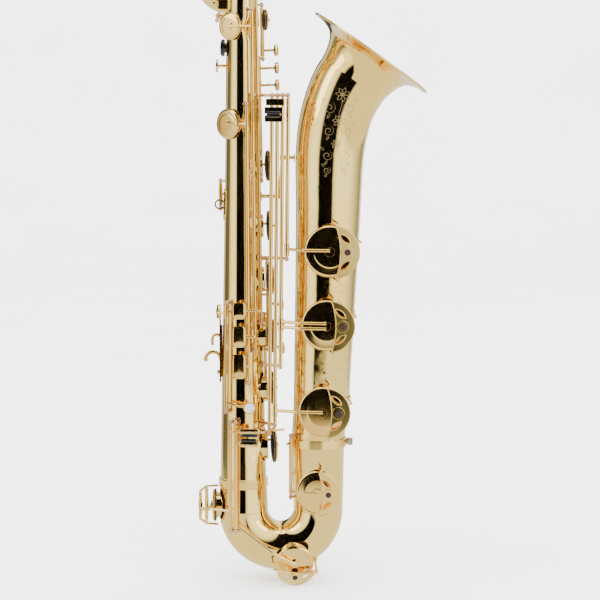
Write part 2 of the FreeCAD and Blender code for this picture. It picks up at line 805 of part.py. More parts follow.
def loop_brace():
    """Two short struts that tie the loop's legs to the body tube."""
    pieces = []
    for height, leg in ((800, LOOP_RIGHT), (905, LOOP_LEFT)):
        way = Vector(leg.x, leg.y, 0).normalize()
        body_gap = body_radius(height) + 0.05
        leg_gap = Vector(leg.x, leg.y, 0).Length - size("loop_radius") - 0.45
        start = at(0, 0, height) + way * body_gap
        end = at(0, 0, height) + way * leg_gap
        pieces.append(join("loop_strut", [rod(start, end, 2.4), disc(facing(start, way), 5, 1.2),
                                          disc(facing(end - way * 1.2, way), 5, 1.2)]))
    return group("loop_brace_set", pieces)


sub_part("loop_brace", loop_brace())


# ---------------------------------------------------------------- pivot rails, posts and keys

POSTS = []
PIVOT_RODS = []


class Rail:
    """A straight pivot line, known by its points at two heights."""

    def __init__(self, low, high):
        self.low = low
        self.high = high
        self.way = Vector(high - low).normalize()

    def point(self, height):
        level = height - size("ring_height")
        share = (level - self.low.z) / (self.high.z - self.low.z)
        return self.low + (self.high - self.low) * share

    def span(self, bottom, top):
        """The steel rod between two posts."""
        PIVOT_RODS.append(rod(self.point(bottom - 2.2), self.point(top + 2.2), "rod_radius", "pivot_rod"))


def wall_rail(azimuth, standoff):
    """A rail parallel to the body's wall."""
    angle = math.radians(azimuth)
    ends = []
    for height in (100, 1000):
        radius = body_radius(height) + standoff
        ends.append(at(radius * math.cos(angle), radius * math.sin(angle), height))
    return Rail(*ends)


def stack_rail(across, out):
    """A rail beside the key stack: how far across from the cups' centres and out from the wall."""
    ends = [wall_seat(height, 0).multVec(Vector(0, across, out)) for height in (100, 1000)]
    return Rail(*ends)


def post(foot, head):
    """A post from a foot on a tube to the ball head that holds a rod."""
    way = Vector(head - foot).normalize()
    pieces = [rod(foot, head, "post_radius", "post"), ball(head, "head_radius", "post_head", way),
              disc(facing(foot - way * 0.2, way), 3.6, 1.4, "post_foot")]
    POSTS.append(join("key_post", pieces))


def body_post(rail, height):
    """A post that stands square on the body tube."""
    head = rail.point(height)
    axis = at(0, 0, height)
    way = Vector(head - axis).normalize()
    post(axis + way * (body_radius(height) + 0.05), head)


def arm(points, radius="arm_radius"):
    """A bent bar through its points, rounded at each knee."""
    bars = [rod(start, end, radius, "arm") for start, end in zip(points, points[1:])]
    knees = []
    for before, point, after in zip(points, points[1:], points[2:]):
        way = Vector(point - before).normalize() + Vector(after - point).normalize()
        knees.append(ball(point, "%s + 0.25" % radius, "knee", way))
    return bars + knees


def pearl_cup(point, way):
    """The brass seat of a finger pearl."""
    return disc(facing(point, way), "pearl_radius", 3, "pearl_seat")


def key(label, rail, pieces, bottom, top, travel, sense, stands_open):
    """Join a key, drill its hinge tube, stand it at rest and note its hinge.

    Pieces are placed with the cup shut.  Travel is in degrees, and the sense is +1 where turning
    about the rail's upward line shuts the cup."""
    drill = rod(rail.point(bottom), rail.point(top), "barrel_bore", "hinge_bore")
    tube = rod(rail.point(bottom), rail.point(top), "barrel_radius", "hinge_tube")
    item = cut(label + "_drilled", join(label + "_mass", [tube] + pieces), [drill])
    axis = rail.way * sense
    if stands_open:
        item.Placement = turn_about(rail.point(bottom), axis, -travel)
        HINGES[label] = (rail.point((bottom + top) / 2), axis, travel)
    else:
        HINGES[label] = (rail.point((bottom + top) / 2), axis * -1, travel)
    return sub_part(label, item)


# ---- main stack: cups face +X, their hinge rails run behind them

STACK_RAILS = (stack_rail(27, 6), stack_rail(32.5, 1), stack_rail(37.5, -4.5))
STACK_ACROSS = (27, 32.5, 37.5)
STACK_LIFT = 5.2

# key: rail, bottom and top of its hinge tube, height of its finger pearl or none
STACK_KEYS = {
    "d": (2, 148, 294, 286),
    "e": (1, 222, 324, 316),
    "f": (0, 286, 350, 341),
    "fsharp": (0, 362, 395, None),
    "g": (2, 426, 624, 616),
    "a": (1, 500, 646, 637),
    "b": (0, 652, 712, 659),
    "c": (0, 727, 763, None),
}


def stack_key(name):
    lane, bottom, top, pearl = STACK_KEYS[name]
    rail = STACK_RAILS[lane]
    cup = CUPS[name]
    across = STACK_ACROSS[lane]
    level = cup.top() + 2.9
    hinge = rail.point(BODY_HOLES[name][0])
    pieces = cup.shell()
    pieces += arm([hinge, cup.point(0, across - 1, level), cup.point(0, 0, level - 0.6)])
    pieces.append(disc(cup.seat * shift(0, 0, cup.top() - 1), 4.5, 2.4, "cup_seat"))
    if pearl:
        seat = wall_seat(pearl, 0)
        centre = seat.multVec(Vector(0, 9, 18))
        pieces += arm([rail.point(pearl), seat.multVec(Vector(0, across - 1, 13)),
                       seat.multVec(Vector(0, 15, 17)), centre])
        pieces.append(pearl_cup(centre, seat.Rotation.multVec(Z_AXIS)))
    travel = math.degrees(math.asin(STACK_LIFT / across))
    key(name + "_key", rail, pieces, bottom, top, travel, -1, True)
    rail.span(bottom - 3.3, top + 3.3)
    for height in (bottom - 3.3, top + 3.3):
        body_post(rail, height)


for stack_name in STACK_KEYS:
    stack_key(stack_name)


# ---- closed keys with a hinge tube beside the cup: G sharp and the palm keys

def near_key(label, name, across, out, half, touch, travel=9):
    """A closed key hinged beside its own cup, with a touch piece on a short lever."""
    cup = CUPS[name]
    height, azimuth, radius = BODY_HOLES[name]
    seats = [wall_seat(height + step, azimuth).multVec(Vector(0, across, out)) for step in (-200, 200)]
    rail = Rail(*seats)
    level = cup.top() + 2.3
    pieces = cup.shell()
    pieces.append(disc(cup.seat * shift(0, 0, cup.top() - 1), 4, 2.4, "cup_seat"))
    pieces += arm([rail.point(height), cup.point(0, across * 0.8, level), cup.point(0, 0, level)])
    if touch:
        start, turn, end = [cup.point(*place) for place in touch]
        pieces += arm([start, turn, end])
        pieces.append(ball(end, 3.2, "touch_tip"))
    sense = 1 if across < 0 else -1
    key(label, rail, pieces, height - half, height + half, travel, sense, False)
    rail.span(height - half - 3.3, height + half + 3.3)
    for end_height in (height - half - 3.3, height + half + 3.3):
        body_post(rail, end_height)


PALM_TOUCH = ((0, 17, 5), (6, 24, 10), (16, 30, 14))
near_key("gsharp_key", "gsharp", 20, 5, 14, None)
near_key("palm_d_key", "palm_d", 17, 5, 16, PALM_TOUCH)
near_key("palm_eflat_key", "palm_eflat", 17, 5, 14, PALM_TOUCH)
near_key("palm_f_key", "palm_f", 17, 5, 14, PALM_TOUCH)


# ---- side keys: long hinge tubes on the -Y side, touch pieces for the right palm

# key: tone hole, azimuth and standoff of the rail, bottom and top of the hinge tube,
# lowest and highest edge of the touch
SIDE_KEYS = {
    "side_bflat_key": ("side_bflat", -77, 7.5, 252, 590, (256, 286)),
    "side_c_key": ("side_c", -61, 7.5, 292, 705, (295, 321)),
    "high_e_key": ("high_e", -45, 7.5, 326, 830, (330, 350)),
}


def side_key(label):
    name, azimuth, standoff, bottom, top, (low, high) = SIDE_KEYS[label]
    rail = wall_rail(azimuth, standoff)
    cup = CUPS[name]
    height = BODY_HOLES[name][0]
    hinge = rail.point(height)
    over = cup.point(0, 0, cup.top() + 1.9)
    lift = Vector(over - at(0, 0, height)).Length
    middle = Vector((hinge + over) * 0.5 - at(0, 0, height)).normalize() * (lift + 2.5) + at(0, 0, height)
    pieces = cup.shell() + arm([hinge, middle, over])
    pieces.append(disc(cup.seat * shift(0, 0, cup.top() - 1), 5, 3, "cup_seat"))
    mid = (low + high) / 2
    front = -body_radius(mid) - 15
    start = rail.point(mid)
    pieces += arm([start, at(start.x - size("ring_reach"), front, mid), at(0, front, mid)])
    plate = Placement(at(-3.5, front, low), Rotation())
    pieces.append(block(plate, 15, 3, high - low, "side_touch"))
    key(label, rail, pieces, bottom, top, 8, -1, False)
    rail.span(bottom - 3.3, top + 3.3)
    for end_height in (bottom - 3.3, top + 3.3):
        body_post(rail, end_height)


for side_label in SIDE_KEYS:
    side_key(side_label)


# ---- bell keys: four long rails between body and bell, cups on the bell and bow

BELL_RAILS = {
    "low_a": Rail(at(53, -36, 200), at(57, -36, 604)),
    "low_bflat": Rail(at(46.5, -36, 200), at(50.5, -36, 604)),
    "low_b": Rail(at(40, -36, 200), at(44, -36, 604)),
    "csharp_lever": Rail(at(33.5, -36, 200), at(37.5, -36, 604)),
}
BELL_TOP = 604
BELL_ENDS = {"low_a": 404, "low_bflat": 270, "low_b": 196, "csharp_lever": 186}
TOUCH_LEVELS = {"low_bflat": 572, "low_b": 582, "csharp_lever": 592}


def bell_saddle(height, names):
    """A strut from the body behind the rails, with a ball-headed post for each rail that ends here."""
    rails = [BELL_RAILS[name] for name in names]
    knees = [rail.point(height) + Y_AXIS * 8 for rail in rails]
    angle = math.radians(-30)
    radius = body_radius(height) + 0.05
    foot = at(radius * math.cos(angle), radius * math.sin(angle), height)
    far = max(knees, key=lambda knee: knee.x)
    pieces = [rod(foot, far, "post_radius + 0.3", "saddle_bar"), ball(far, "post_radius + 0.6", "saddle_end"),
              disc(facing(foot, far - foot), 4.5, 1.5, "saddle_foot")]
    for rail, knee in zip(rails, knees):
        share = (knee.x - foot.x) / (far.x - foot.x)
        root = foot + (far - foot) * share
        head = rail.point(height)
        pieces += [rod(root, head, "post_radius", "saddle_post"), ball(head, "head_radius", "post_head")]
    POSTS.append(join("bell_saddle", pieces))


bell_saddle(BELL_TOP, list(BELL_RAILS))
for rail_name, rail_bottom in BELL_ENDS.items():
    bell_saddle(rail_bottom, [rail_name])
    BELL_RAILS[rail_name].span(rail_bottom, BELL_TOP)


def bell_key(label, name, height, lift):
    rail = BELL_RAILS[name]
    cup = CUPS[name]
    hinge = rail.point(height)
    crown = cup.point(0, 0, cup.top() + 2.7)
    crown.z = hinge.z
    reach = math.hypot(crown.x - hinge.x, crown.y - hinge.y)
    edge = crown + (hinge - crown) * ((cup.radius + 3) / reach)
    edge.y = crown.y - 0.4
    bars = [[hinge, edge, crown]]
    if name == "low_bflat":
        spread = Z_AXIS * 3.2
        bars = [[point + spread for point in bars[0]], [point - spread for point in bars[0]]]
    pieces = cup.shell() + [disc(cup.seat * shift(0, 0, cup.top() - 1), 6, 4.2, "cup_seat")]
    for points in bars:
        pieces += arm(points, "arm_radius + 0.3")
    pieces.append(sleeve(rail.point(height - 8), rail.point(height + 8), 3.2, "barrel_bore", "arm_collar"))
    if name in TOUCH_LEVELS:
        pieces += table_bracket(rail, TOUCH_LEVELS[name])
    travel = math.degrees(math.asin(lift / reach))
    bottom = BELL_ENDS[name] + 3.3
    key(label, rail, pieces, bottom, BELL_TOP - 3.3, travel, 1, True)
    if name in TOUCH_LEVELS:
        table_plate(name + "_touch", TOUCH_LEVELS[name], turn_about(rail.point(bottom), rail.way, -travel))


def table_bracket(rail, level):
    """The short bracket that carries a plate of the left little finger's table."""
    root = rail.point(level + 4)
    return arm([root, root - Y_AXIS * 9.5])


def table_plate(label, level, swing):
    """A plate of the left little finger's table, as its key has it at rest."""
    plate = swing * Placement(at(41, -46, level), Rotation())
    sub_part(label, block(plate, 22, 3, 8, "table_plate"))


bell_key("low_a_key", "low_a", 416, 9)
bell_key("low_bflat_key", "low_bflat", 323, 9)
bell_key("low_b_key", "low_b", 215.5, 9)


def csharp_lever():
    rail = BELL_RAILS["csharp_lever"]
    level = 191.5
    pieces = table_bracket(rail, TOUCH_LEVELS["csharp_lever"])
    start = rail.point(level)
    pieces += arm([start, start + Vector(6, -5, 0), at(52, -38, level)])
    key("low_csharp_lever", rail, pieces, BELL_ENDS["csharp_lever"] + 3.3, BELL_TOP - 3.3, 8, 1, False)
    table_plate("low_csharp_touch", TOUCH_LEVELS["csharp_lever"], Placement())


csharp_lever()


def leg_post(rail, height, x, radius):
    """A post square on an upright leg whose axis is at x."""
    head = rail.point(height)
    axis = at(x, 0, height)
    way = Vector(head - axis).normalize()
    post(axis + way * (radius + 0.05), head)


def csharp_key():
    rail = Rail(at(60, -26, 100), at(60, -26, 190))
    cup = CUPS["low_csharp"]
    height = 112
    hinge = rail.point(height)
    crown = cup.point(0, 0, cup.top() + 2.7)
    edge = crown + (hinge - crown) * 0.86 - Y_AXIS * 6
    pieces = cup.shell() + [disc(cup.seat * shift(0, 0, cup.top() - 1), 5, 4.1, "cup_seat")]
    pieces += arm([hinge, edge, crown])
    tail = rail.point(172)
    pieces += arm([tail, tail + Vector(-5, -6, 0)])
    key("low_csharp_key", rail, pieces, 107, 178, 9, 1, False)
    rail.span(103.7, 181.3)
    leg_post(rail, 103.7, 94.4, 31.5)
    leg_post(rail, 181.3, 95, 33.5)


csharp_key()


def low_c_key():
    rail = Rail(at(-8.5, -38, 60), at(-8.5, -38, 210))
    cup = CUPS["low_c"]
    centre = cup.point(0, 0, cup.top() + 2.7)
    hinge = rail.point(71)
    knee = hinge + (centre - hinge) * 0.66
    knee.y = -51
    pieces = cup.shell() + [disc(cup.seat * shift(0, 0, cup.top() - 1), 5, 4.2, "cup_seat")]
    pieces += arm([hinge, knee, centre], "arm_radius + 0.2")
    touch_root = rail.point(176)
    pieces += arm([touch_root, touch_root + Vector(6, -5, 0)])
    pieces.append(block(Placement(at(9, -43.5, 171), Rotation()), 24, 3, 9, "c_touch"))
    key("low_c_key", rail, pieces, 66, 196.7, 7, 1, True)
    rail.span(62.7, 200)
    leg_post(rail, 62.7, 4.6, 31)
    body_post(rail, 200)


low_c_key()


def low_eflat_key():
    rail = Rail(at(-15.5, -36, 60), at(-15.5, -36, 210))
    cup = CUPS["low_eflat"]
    hinge = rail.point(88)
    centre = cup.point(0, 0, cup.top() + 2.5)
    knee = at(-42, -23, 88)
    pieces = cup.shell() + [disc(cup.seat * shift(0, 0, cup.top() - 1), 5, 4, "cup_seat")]
    pieces += arm([hinge, knee, centre])
    touch_root = rail.point(190)
    front = at(-12, -46, 190)
    pieces += arm([touch_root, front, at(0, -46, 190)])
    pieces.append(block(Placement(at(9, -46.5, 185), Rotation()), 24, 3, 9, "eflat_touch"))
    key("low_eflat_key", rail, pieces, 66, 196.7, 6, -1, False)
    rail.span(62.7, 200)
    leg_post(rail, 62.7, 4.6, 31)
    body_post(rail, 200)


low_eflat_key()


# ---- octave work, alternate F sharp and water key

def octave_lever():
    """The left thumb's lever, beside the thumb rest."""
    rail = wall_rail(136, 6)
    pieces = arm([rail.point(640), wall_seat(640, 158).multVec(Vector(0, 0, 14)),
                  wall_seat(640, 178).multVec(Vector(0, 0, 12))])
    pieces.append(disc(wall_seat(640, 178) * shift(0, 0, 10.5), 8, 2.4, "octave_touch"))
    key("octave_lever", rail, pieces, 590, 690, 7, -1, False)
    rail.span(586.7, 693.3)
    for height in (586.7, 693.3):
        body_post(rail, height)


octave_lever()


def vent_key():
    """The body's octave vent: a small pad over a pip, on a short hinge."""
    cup = Cup(wall_seat(905, 60), 5, 12)
    rail = Rail(wall_seat(700, 60).multVec(Vector(0, 12, 4)), wall_seat(990, 60).multVec(Vector(0, 12, 4)))
    pieces = [disc(cup.seat * shift(0, 0, 4.4), 4.5, 3, "vent_cup")]
    pieces += arm([rail.point(905), cup.point(0, 6, 8), cup.point(0, 0, 6.6)])
    key("octave_vent_key", rail, pieces, 880, 930, 10, -1, False)
    rail.span(876.7, 933.3)
    for height in (876.7, 933.3):
        body_post(rail, height)


vent_key()


def alternate_fsharp_key():
    """A small closed cup on the player's side, with a pearl by the right little finger."""
    rail = wall_rail(-128, 7)
    seat = wall_seat(335, -170)
    pieces = [disc(seat * shift(0, 0, 3.4), 9, 4, "cup")]
    pieces += arm([rail.point(335), wall_seat(335, -148).multVec(Vector(0, 0, 12)), seat.multVec(Vector(0, 0, 8))])
    start = rail.point(224)
    front = -body_radius(222) - 13
    pieces += arm([start, at(-8, front, 222), at(8, front, 219)])
    pieces.append(pearl_cup(at(9, front + 1, 219), Y_AXIS * -1))
    key("alternate_fsharp_key", rail, pieces, 216, 345, 8, 1, False)
    rail.span(212.7, 348.3)
    for height in (212.7, 348.3):
        body_post(rail, height)


alternate_fsharp_key()


def neck_octave_key():
    """A ring round the neck, a spine over its bend and a pad on the vent, on a cross pivot."""
    bend_centre = NECK_FOOT + Vector(-size("neck_bend_radius"), 0, 40)

    def over_bend(degrees, clear):
        angle = math.radians(degrees)
        reach = size("neck_bend_radius") + size("neck_radius") + clear
        return bend_centre + Vector(math.cos(angle) * reach, 0, math.sin(angle) * reach)

    pivot = over_bend(62, 7)
    rail = Rail(pivot - Y_AXIS * 6, pivot + Y_AXIS * 6)
    tube = rod(pivot - Y_AXIS * 5, pivot + Y_AXIS * 5, "barrel_radius", "hinge_tube")
    spine = arm([over_bend(62, 7) + Vector(0, 0, 2.6), over_bend(80, 9), over_bend(97, 7.5)])
    pad = disc(facing(over_bend(97, 3.6), over_bend(97, 10) - over_bend(97, 0)), 4.6, 3.4, "vent_pad")
    hoop_place = NECK_FOOT + Z_AXIS * 33
    hoop = ring(facing(hoop_place, Z_AXIS), 18, 1.6, "octave_hoop")
    tail = arm([pivot + Vector(1.9, 0, 1.9), over_bend(35, 9.5), NECK_FOOT + Vector(18, 0, 33.4)])
    mass = join("neck_octave_mass", [tube, pad, hoop] + spine + tail)
    drill = rod(pivot - Y_AXIS * 9, pivot + Y_AXIS * 9, "barrel_bore", "hinge_bore")
    HINGES["neck_octave_key"] = (pivot, Y_AXIS, 3)
    PIVOT_RODS.append(rod(pivot - Y_AXIS * 9.5, pivot + Y_AXIS * 9.5, "rod_radius", "pivot_rod"))
    for side in (-1, 1):
        head = pivot + Y_AXIS * (8.2 * side)
        foot = over_bend(62, -1.6) + Y_AXIS * (5 * side)
        POSTS.append(join("neck_post", [rod(foot, head, "post_radius"), ball(head, "head_radius", "head", head - foot)]))
    vent = disc(facing(over_bend(97, -1.5), over_bend(97, 10) - over_bend(97, 0)), 2.6, 4.6, "vent_pip")
    POSTS.append(vent)
    return sub_part("neck_octave_key", cut("neck_octave_drilled", mass, [drill]))


neck_octave_key()


def water_key():
    """A spring lever that shuts the drain hole at the bottom of the loop."""
    middle = at((LOOP_LEFT.x + LOOP_RIGHT.x) / 2, (LOOP_LEFT.y + LOOP_RIGHT.y) / 2, size("loop_bottom"))
    side = Vector(LOOP_RIGHT - LOOP_LEFT).normalize()
    depth = (LOOP_RIGHT - LOOP_LEFT).Length / 2 + size("loop_radius")
    low = middle - Z_AXIS * depth
    across = Z_AXIS.cross(side)
    pivot = low + across * 15 - Z_AXIS * 2
    nipple = rod(low - Z_AXIS * 2.4, low + Z_AXIS * 1.4, 3.2, "drain_nipple")
    POSTS.append(nipple)
    for end in (-1, 1):
        head = pivot + side * (8.2 * end)
        foot = low + Z_AXIS * 5 + across * 9 + side * (6 * end)
        POSTS.append(join("water_post", [rod(foot, head, "post_radius"), ball(head, "head_radius", "head", head - foot)]))
    PIVOT_RODS.append(rod(pivot - side * 9.5, pivot + side * 9.5, "rod_radius", "pivot_rod"))
    tube = rod(pivot - side * 5, pivot + side * 5, "barrel_radius", "hinge_tube")
    pad = rod(low - Z_AXIS * 6.6, low - Z_AXIS * 3, 4.5, "drain_pad")
    tip = pivot + across * 20 - Z_AXIS * 5
    bars = arm([pivot, low - Z_AXIS * 4.9]) + arm([pivot, tip])
    touch = ball(tip, 3, "water_key_touch")
    drill = rod(pivot - side * 9, pivot + side * 9, "barrel_bore", "hinge_bore")
    HINGES["water_key"] = (pivot, side, 14)
    return sub_part("water_key", cut("water_key_drilled", join("water_key_mass", [tube, pad, touch] + bars), [drill]))


water_key()


# ---------------------------------------------------------------- key guards and their bumpers

BUMPERS = []


def guard(label, name, lift, tilt, feet, boss_share=0.54):
    """A crescent over the cup's outer half, with two leaf-shaped windows, a boss and its feet."""
    cup = CUPS[name]
    share = cup.radius / 31
    level = cup.top() + lift + size("guard_clearance")
    seat = cup.seat * shift(0, 0, level) * Placement(Vector(), Rotation(Z_AXIS, tilt))
    thick = size("guard_thickness")
    outline = disc(seat, cup.radius + 1.2, thick, "guard_outline")
    bite = disc(seat * shift(-89 * share, 0, -1), 97 * share, thick + 2, "guard_bite")
    windows = []
    for side in (-1, 1):
        middle = seat * Placement(Vector(), Rotation(Z_AXIS, side * 49)) * shift(21.5 * share, 0, -1)
        leaf = [disc(middle * shift(bulge * 9.5 * share, 0, 0), 13 * share, thick + 2, "leaf_side")
                for bulge in (-1, 1)]
        windows.append(common("guard_window", leaf[0], leaf[1]))
    centre = 31 * boss_share * share
    boss = disc(seat * shift(centre, 0, -0.6), size("boss_radius") * min(1, share * 1.1), thick + 2.2, "guard_boss")
    hole = disc(seat * shift(centre, 0, -4), size("bumper_radius") * 0.8, 12, "bumper_hole")
    legs = []
    for angle, drop in feet:
        spoke = seat * Placement(Vector(), Rotation(Z_AXIS, angle))
        edge = spoke.multVec(Vector(cup.radius + 0.4, 0, thick / 2))
        knee = spoke.multVec(Vector(cup.radius + 4.5, 0, thick / 2 - 1))
        foot = spoke.multVec(Vector(cup.radius + 5.5, 0, -drop))
        legs += arm([edge, knee, foot], "guard_wire")
        legs.append(disc(facing(foot, knee - foot), 3.4, 1.3, "guard_foot"))
    plate = cut(label + "_plate", join(label + "_blank", [outline, boss]), [bite] + windows + [hole])
    bumper_seat = seat * shift(centre, 0, 0)
    stem = disc(bumper_seat * shift(0, 0, -1.6), size("bumper_radius") * 0.8 - 0.06, thick + 4, "bumper_screw")
    felt = disc(bumper_seat * shift(0, 0, -2.2), size("bumper_radius"), 1.5, "bumper_felt")
    BUMPERS.append(join("bumper", [stem, felt]))
    return sub_part(label, join(label + "_solid", [plate] + legs))


# local X of a bell seat points down, so the crescent is turned to lie on the +X side of the cup
guard("low_a_guard", "low_a", 13, 90, ((-80, 38), (80, 38), (20, 50)))
guard("low_bflat_guard", "low_bflat", 13, 90, ((-80, 38), (80, 38), (20, 50)))
guard("low_b_guard", "low_b", 13, 90, ((-80, 36), (80, 36), (20, 50)))
guard("low_csharp_guard", "low_csharp", 8, 90, ((-80, 26), (80, 26)))
guard("low_c_guard", "low_c", 11, -90, ((-80, 30), (80, 30)))


def eflat_guard():
    """A cage of two hoops on three legs round the low E flat cup."""
    cup = CUPS["low_eflat"]
    level = cup.top() + 16
    back_level = cup.top() + 8
    front = ring(cup.seat * shift(0, 0, level), cup.radius - 2, 1.5, "cage_hoop")
    back = ring(cup.seat * shift(0, 0, back_level), cup.radius + 4, 1.5, "cage_hoop")
    pieces = [front, back]
    for angle in (0, 90, 180, 300):
        spoke = cup.seat * Placement(Vector(), Rotation(Z_AXIS, angle))
        points = [spoke.multVec(Vector(cup.radius - 2, 0, level)), spoke.multVec(Vector(cup.radius + 4, 0, back_level))]
        if angle in (0, 180):
            points.append(spoke.multVec(Vector(cup.radius + 5, 0, 1.2)))
        pieces += arm(points, "guard_wire")
    boss = disc(cup.seat * shift(0, 0, level - 0.8), 5, 2, "cage_boss")
    bar = arm([cup.point(-cup.radius + 2, 0, level), cup.point(cup.radius - 2, 0, level)], "guard_wire")
    stem = disc(cup.seat * shift(0, 0, level - 2.8), 3, 2, "cage_bumper")
    BUMPERS.append(stem)
    return sub_part("low_eflat_guard", join("eflat_guard_solid", pieces + [boss] + bar))


eflat_guard()

sub_part("guard_bumpers", group("bumper_set", BUMPERS))
sub_part("key_posts", group("post_set", POSTS))
sub_part("pivot_rods", group("pivot_rod_set", PIVOT_RODS))


# ---------------------------------------------------------------- check and export

def export():
    doc.recompute()
    for item in doc.Objects:
        if "Invalid" in item.State or "Error" in item.State:
            raise RuntimeError("%s failed: %s" % (item.Label, item.State))
    os.makedirs("parts", exist_ok=True)
    for label, item in SUB_PARTS.items():
        if item.Shape.isNull() or not item.Shape.isValid():
            raise RuntimeError("%s has no valid shape" % label)
        item.Shape.exportStep("parts/%s.step" % label)
    print("%d sub-parts" % len(SUB_PARTS))


export()
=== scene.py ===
"""The visual model of a low A baritone saxophone, built round the CAD frame, with its studio."""

import json
import math
import random

import bmesh
import bpy
from mathutils import Matrix, Vector


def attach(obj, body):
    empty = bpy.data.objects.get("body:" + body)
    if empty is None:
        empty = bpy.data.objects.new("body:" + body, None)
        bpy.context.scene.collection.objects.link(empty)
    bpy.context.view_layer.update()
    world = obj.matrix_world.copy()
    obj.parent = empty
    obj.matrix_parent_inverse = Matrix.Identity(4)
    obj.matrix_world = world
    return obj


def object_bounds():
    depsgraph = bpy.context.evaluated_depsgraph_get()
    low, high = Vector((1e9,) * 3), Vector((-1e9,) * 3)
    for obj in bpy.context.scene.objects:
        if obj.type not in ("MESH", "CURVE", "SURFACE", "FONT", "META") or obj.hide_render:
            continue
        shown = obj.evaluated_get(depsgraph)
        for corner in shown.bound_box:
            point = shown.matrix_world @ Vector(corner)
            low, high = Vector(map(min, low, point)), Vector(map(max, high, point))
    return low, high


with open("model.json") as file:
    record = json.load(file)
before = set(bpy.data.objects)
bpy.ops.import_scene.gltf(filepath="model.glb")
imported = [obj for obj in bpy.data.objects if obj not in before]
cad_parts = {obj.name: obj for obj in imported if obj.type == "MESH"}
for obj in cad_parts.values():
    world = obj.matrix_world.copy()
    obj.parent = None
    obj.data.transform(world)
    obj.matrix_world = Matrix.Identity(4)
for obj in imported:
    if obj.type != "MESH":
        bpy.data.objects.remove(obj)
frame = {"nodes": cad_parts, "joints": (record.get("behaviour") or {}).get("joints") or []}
CAD_LOW, CAD_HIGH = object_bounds()
NODES = frame["nodes"]
JOINTS = {joint["child"]: joint for joint in frame["joints"]}
DRAWS = random.Random(11)

# ---------------------------------------------------------------- places
# Lengths are in millimetres until finish_piece. Heights are above the lowest guard of the bow, and
# x and y are from the body tube's axis. at() turns them into places from the strap ring, which is
# the frame's origin.

PER_METRE = 1000
RING_REACH = 28.5
RING_HEIGHT = 469
FOOT, HEAD = 118.4, 1015  # the ends of the conical body tube
FOOT_RADIUS, HEAD_RADIUS = 29, 12
TAPER = (FOOT_RADIUS - HEAD_RADIUS) / (HEAD - FOOT)
SLOPE = math.atan(TAPER)
BOW_CENTRE = (47.2, 0, 83.2)
BOW_RADIUS = 47.2
BOW_TUBE_RADIUS = 31
RISE = 3.4  # of a tone hole's rim, where the pad shuts, above the seat on the tube's wall
CUP_DEPTH = 4.5


def at(x, y, height):
    return Vector((x + RING_REACH, y, height - RING_HEIGHT))


def turn(degrees, axis):
    return Matrix.Rotation(math.radians(degrees), 4, axis)


def move(x, y, z):
    return Matrix.Translation((x, y, z))


def facing(point, way):
    """A place with its local Z along a direction."""
    return Matrix.Translation(point) @ Vector(way).to_track_quat("Z", "Y").to_matrix().to_4x4()


def body_radius(height):
    return FOOT_RADIUS - (height - FOOT) * TAPER


def wall_seat(height, azimuth):
    """On the body tube: local Z out of the wall, local X down along it."""
    angle = math.radians(azimuth)
    radius = body_radius(height)
    point = at(radius * math.cos(angle), radius * math.sin(angle), height)
    return Matrix.Translation(point) @ turn(azimuth, "Z") @ turn(90 - math.degrees(SLOPE), "Y")


def leg_seat(x, height, radius, azimuth):
    """On an upright leg of the tube, which stands at x."""
    angle = math.radians(azimuth)
    point = at(x + radius * math.cos(angle), radius * math.sin(angle), height)
    return Matrix.Translation(point) @ turn(azimuth, "Z") @ turn(90, "Y")


def bell_seat(x, height, centre, wall):
    """On the bell's front, turned so that the cup's middle is seen at x."""
    lean = math.degrees(math.asin((x - centre) / (wall + 6)))
    return leg_seat(centre, height, wall, lean - 90)


def bow_seat(degrees, lean):
    """On the bow, at an angle along its bend and leaning from the front towards its outer side."""
    angle, tilt = math.radians(degrees), math.radians(lean)
    outward = Vector((-math.cos(angle), 0, -math.sin(angle)))
    normal = outward * math.sin(tilt) + Vector((0, -1, 0)) * math.cos(tilt)
    return facing(at(*BOW_CENTRE) + outward * BOW_RADIUS + normal * BOW_TUBE_RADIUS, normal)


# body: where its cup sits when shut, the cup's radius
CUPS = {
    "d_key": (wall_seat(164.3, 0), 21.5),
    "e_key": (wall_seat(237.4, 0), 20),
    "f_key": (wall_seat(304.3, 0), 21),
    "fsharp_key": (wall_seat(375.5, 0), 19.5),
    "g_key": (wall_seat(441.8, 0), 18.5),
    "a_key": (wall_seat(516.8, 0), 18.5),
    "b_key": (wall_seat(696, 0), 12.5),
    "c_key": (wall_seat(742, 0), 11),
    "gsharp_key": (wall_seat(480, 110), 15),
    "side_bflat_key": (wall_seat(569, -131), 18),
    "side_c_key": (wall_seat(688, -126), 16),
    "high_e_key": (wall_seat(812, -95), 12),
    "palm_d_key": (wall_seat(786, 0), 11),
    "palm_eflat_key": (wall_seat(828, 0), 11),
    "palm_f_key": (wall_seat(872, 0), 10.5),
    "low_a_key": (bell_seat(110.3, 414.3, 105.3, 39.4), 31),
    "low_bflat_key": (bell_seat(105.6, 323, 102.1, 37.1), 30.5),
    "low_b_key": (bell_seat(101, 215.5, 98, 34.8), 30),
    "low_csharp_key": (leg_seat(94.4, 112, 31.7, -92), 26),
    "low_c_key": (bow_seat(107, 23), 23),
    "low_eflat_key": (leg_seat(0, 88, 30.8, 180), 20),
}
# Keys whose cups stand open at rest.
OPEN = ("d_key", "e_key", "f_key", "fsharp_key", "g_key", "a_key", "b_key", "c_key",
        "low_a_key", "low_bflat_key", "low_b_key", "low_c_key")


def at_rest(body, place):
    """Where something fixed to a key is at rest, from where it is when the key's cup is shut."""
    if body not in OPEN:
        return place
    joint = JOINTS[body]
    pivot = Vector(joint["pos_m"]) * PER_METRE
    swing = Matrix.Rotation(-math.radians(joint["range_deg"][1]), 4, Vector(joint["axis"]))
    return Matrix.Translation(pivot) @ swing @ Matrix.Translation(-pivot) @ place


# ---------------------------------------------------------------- materials

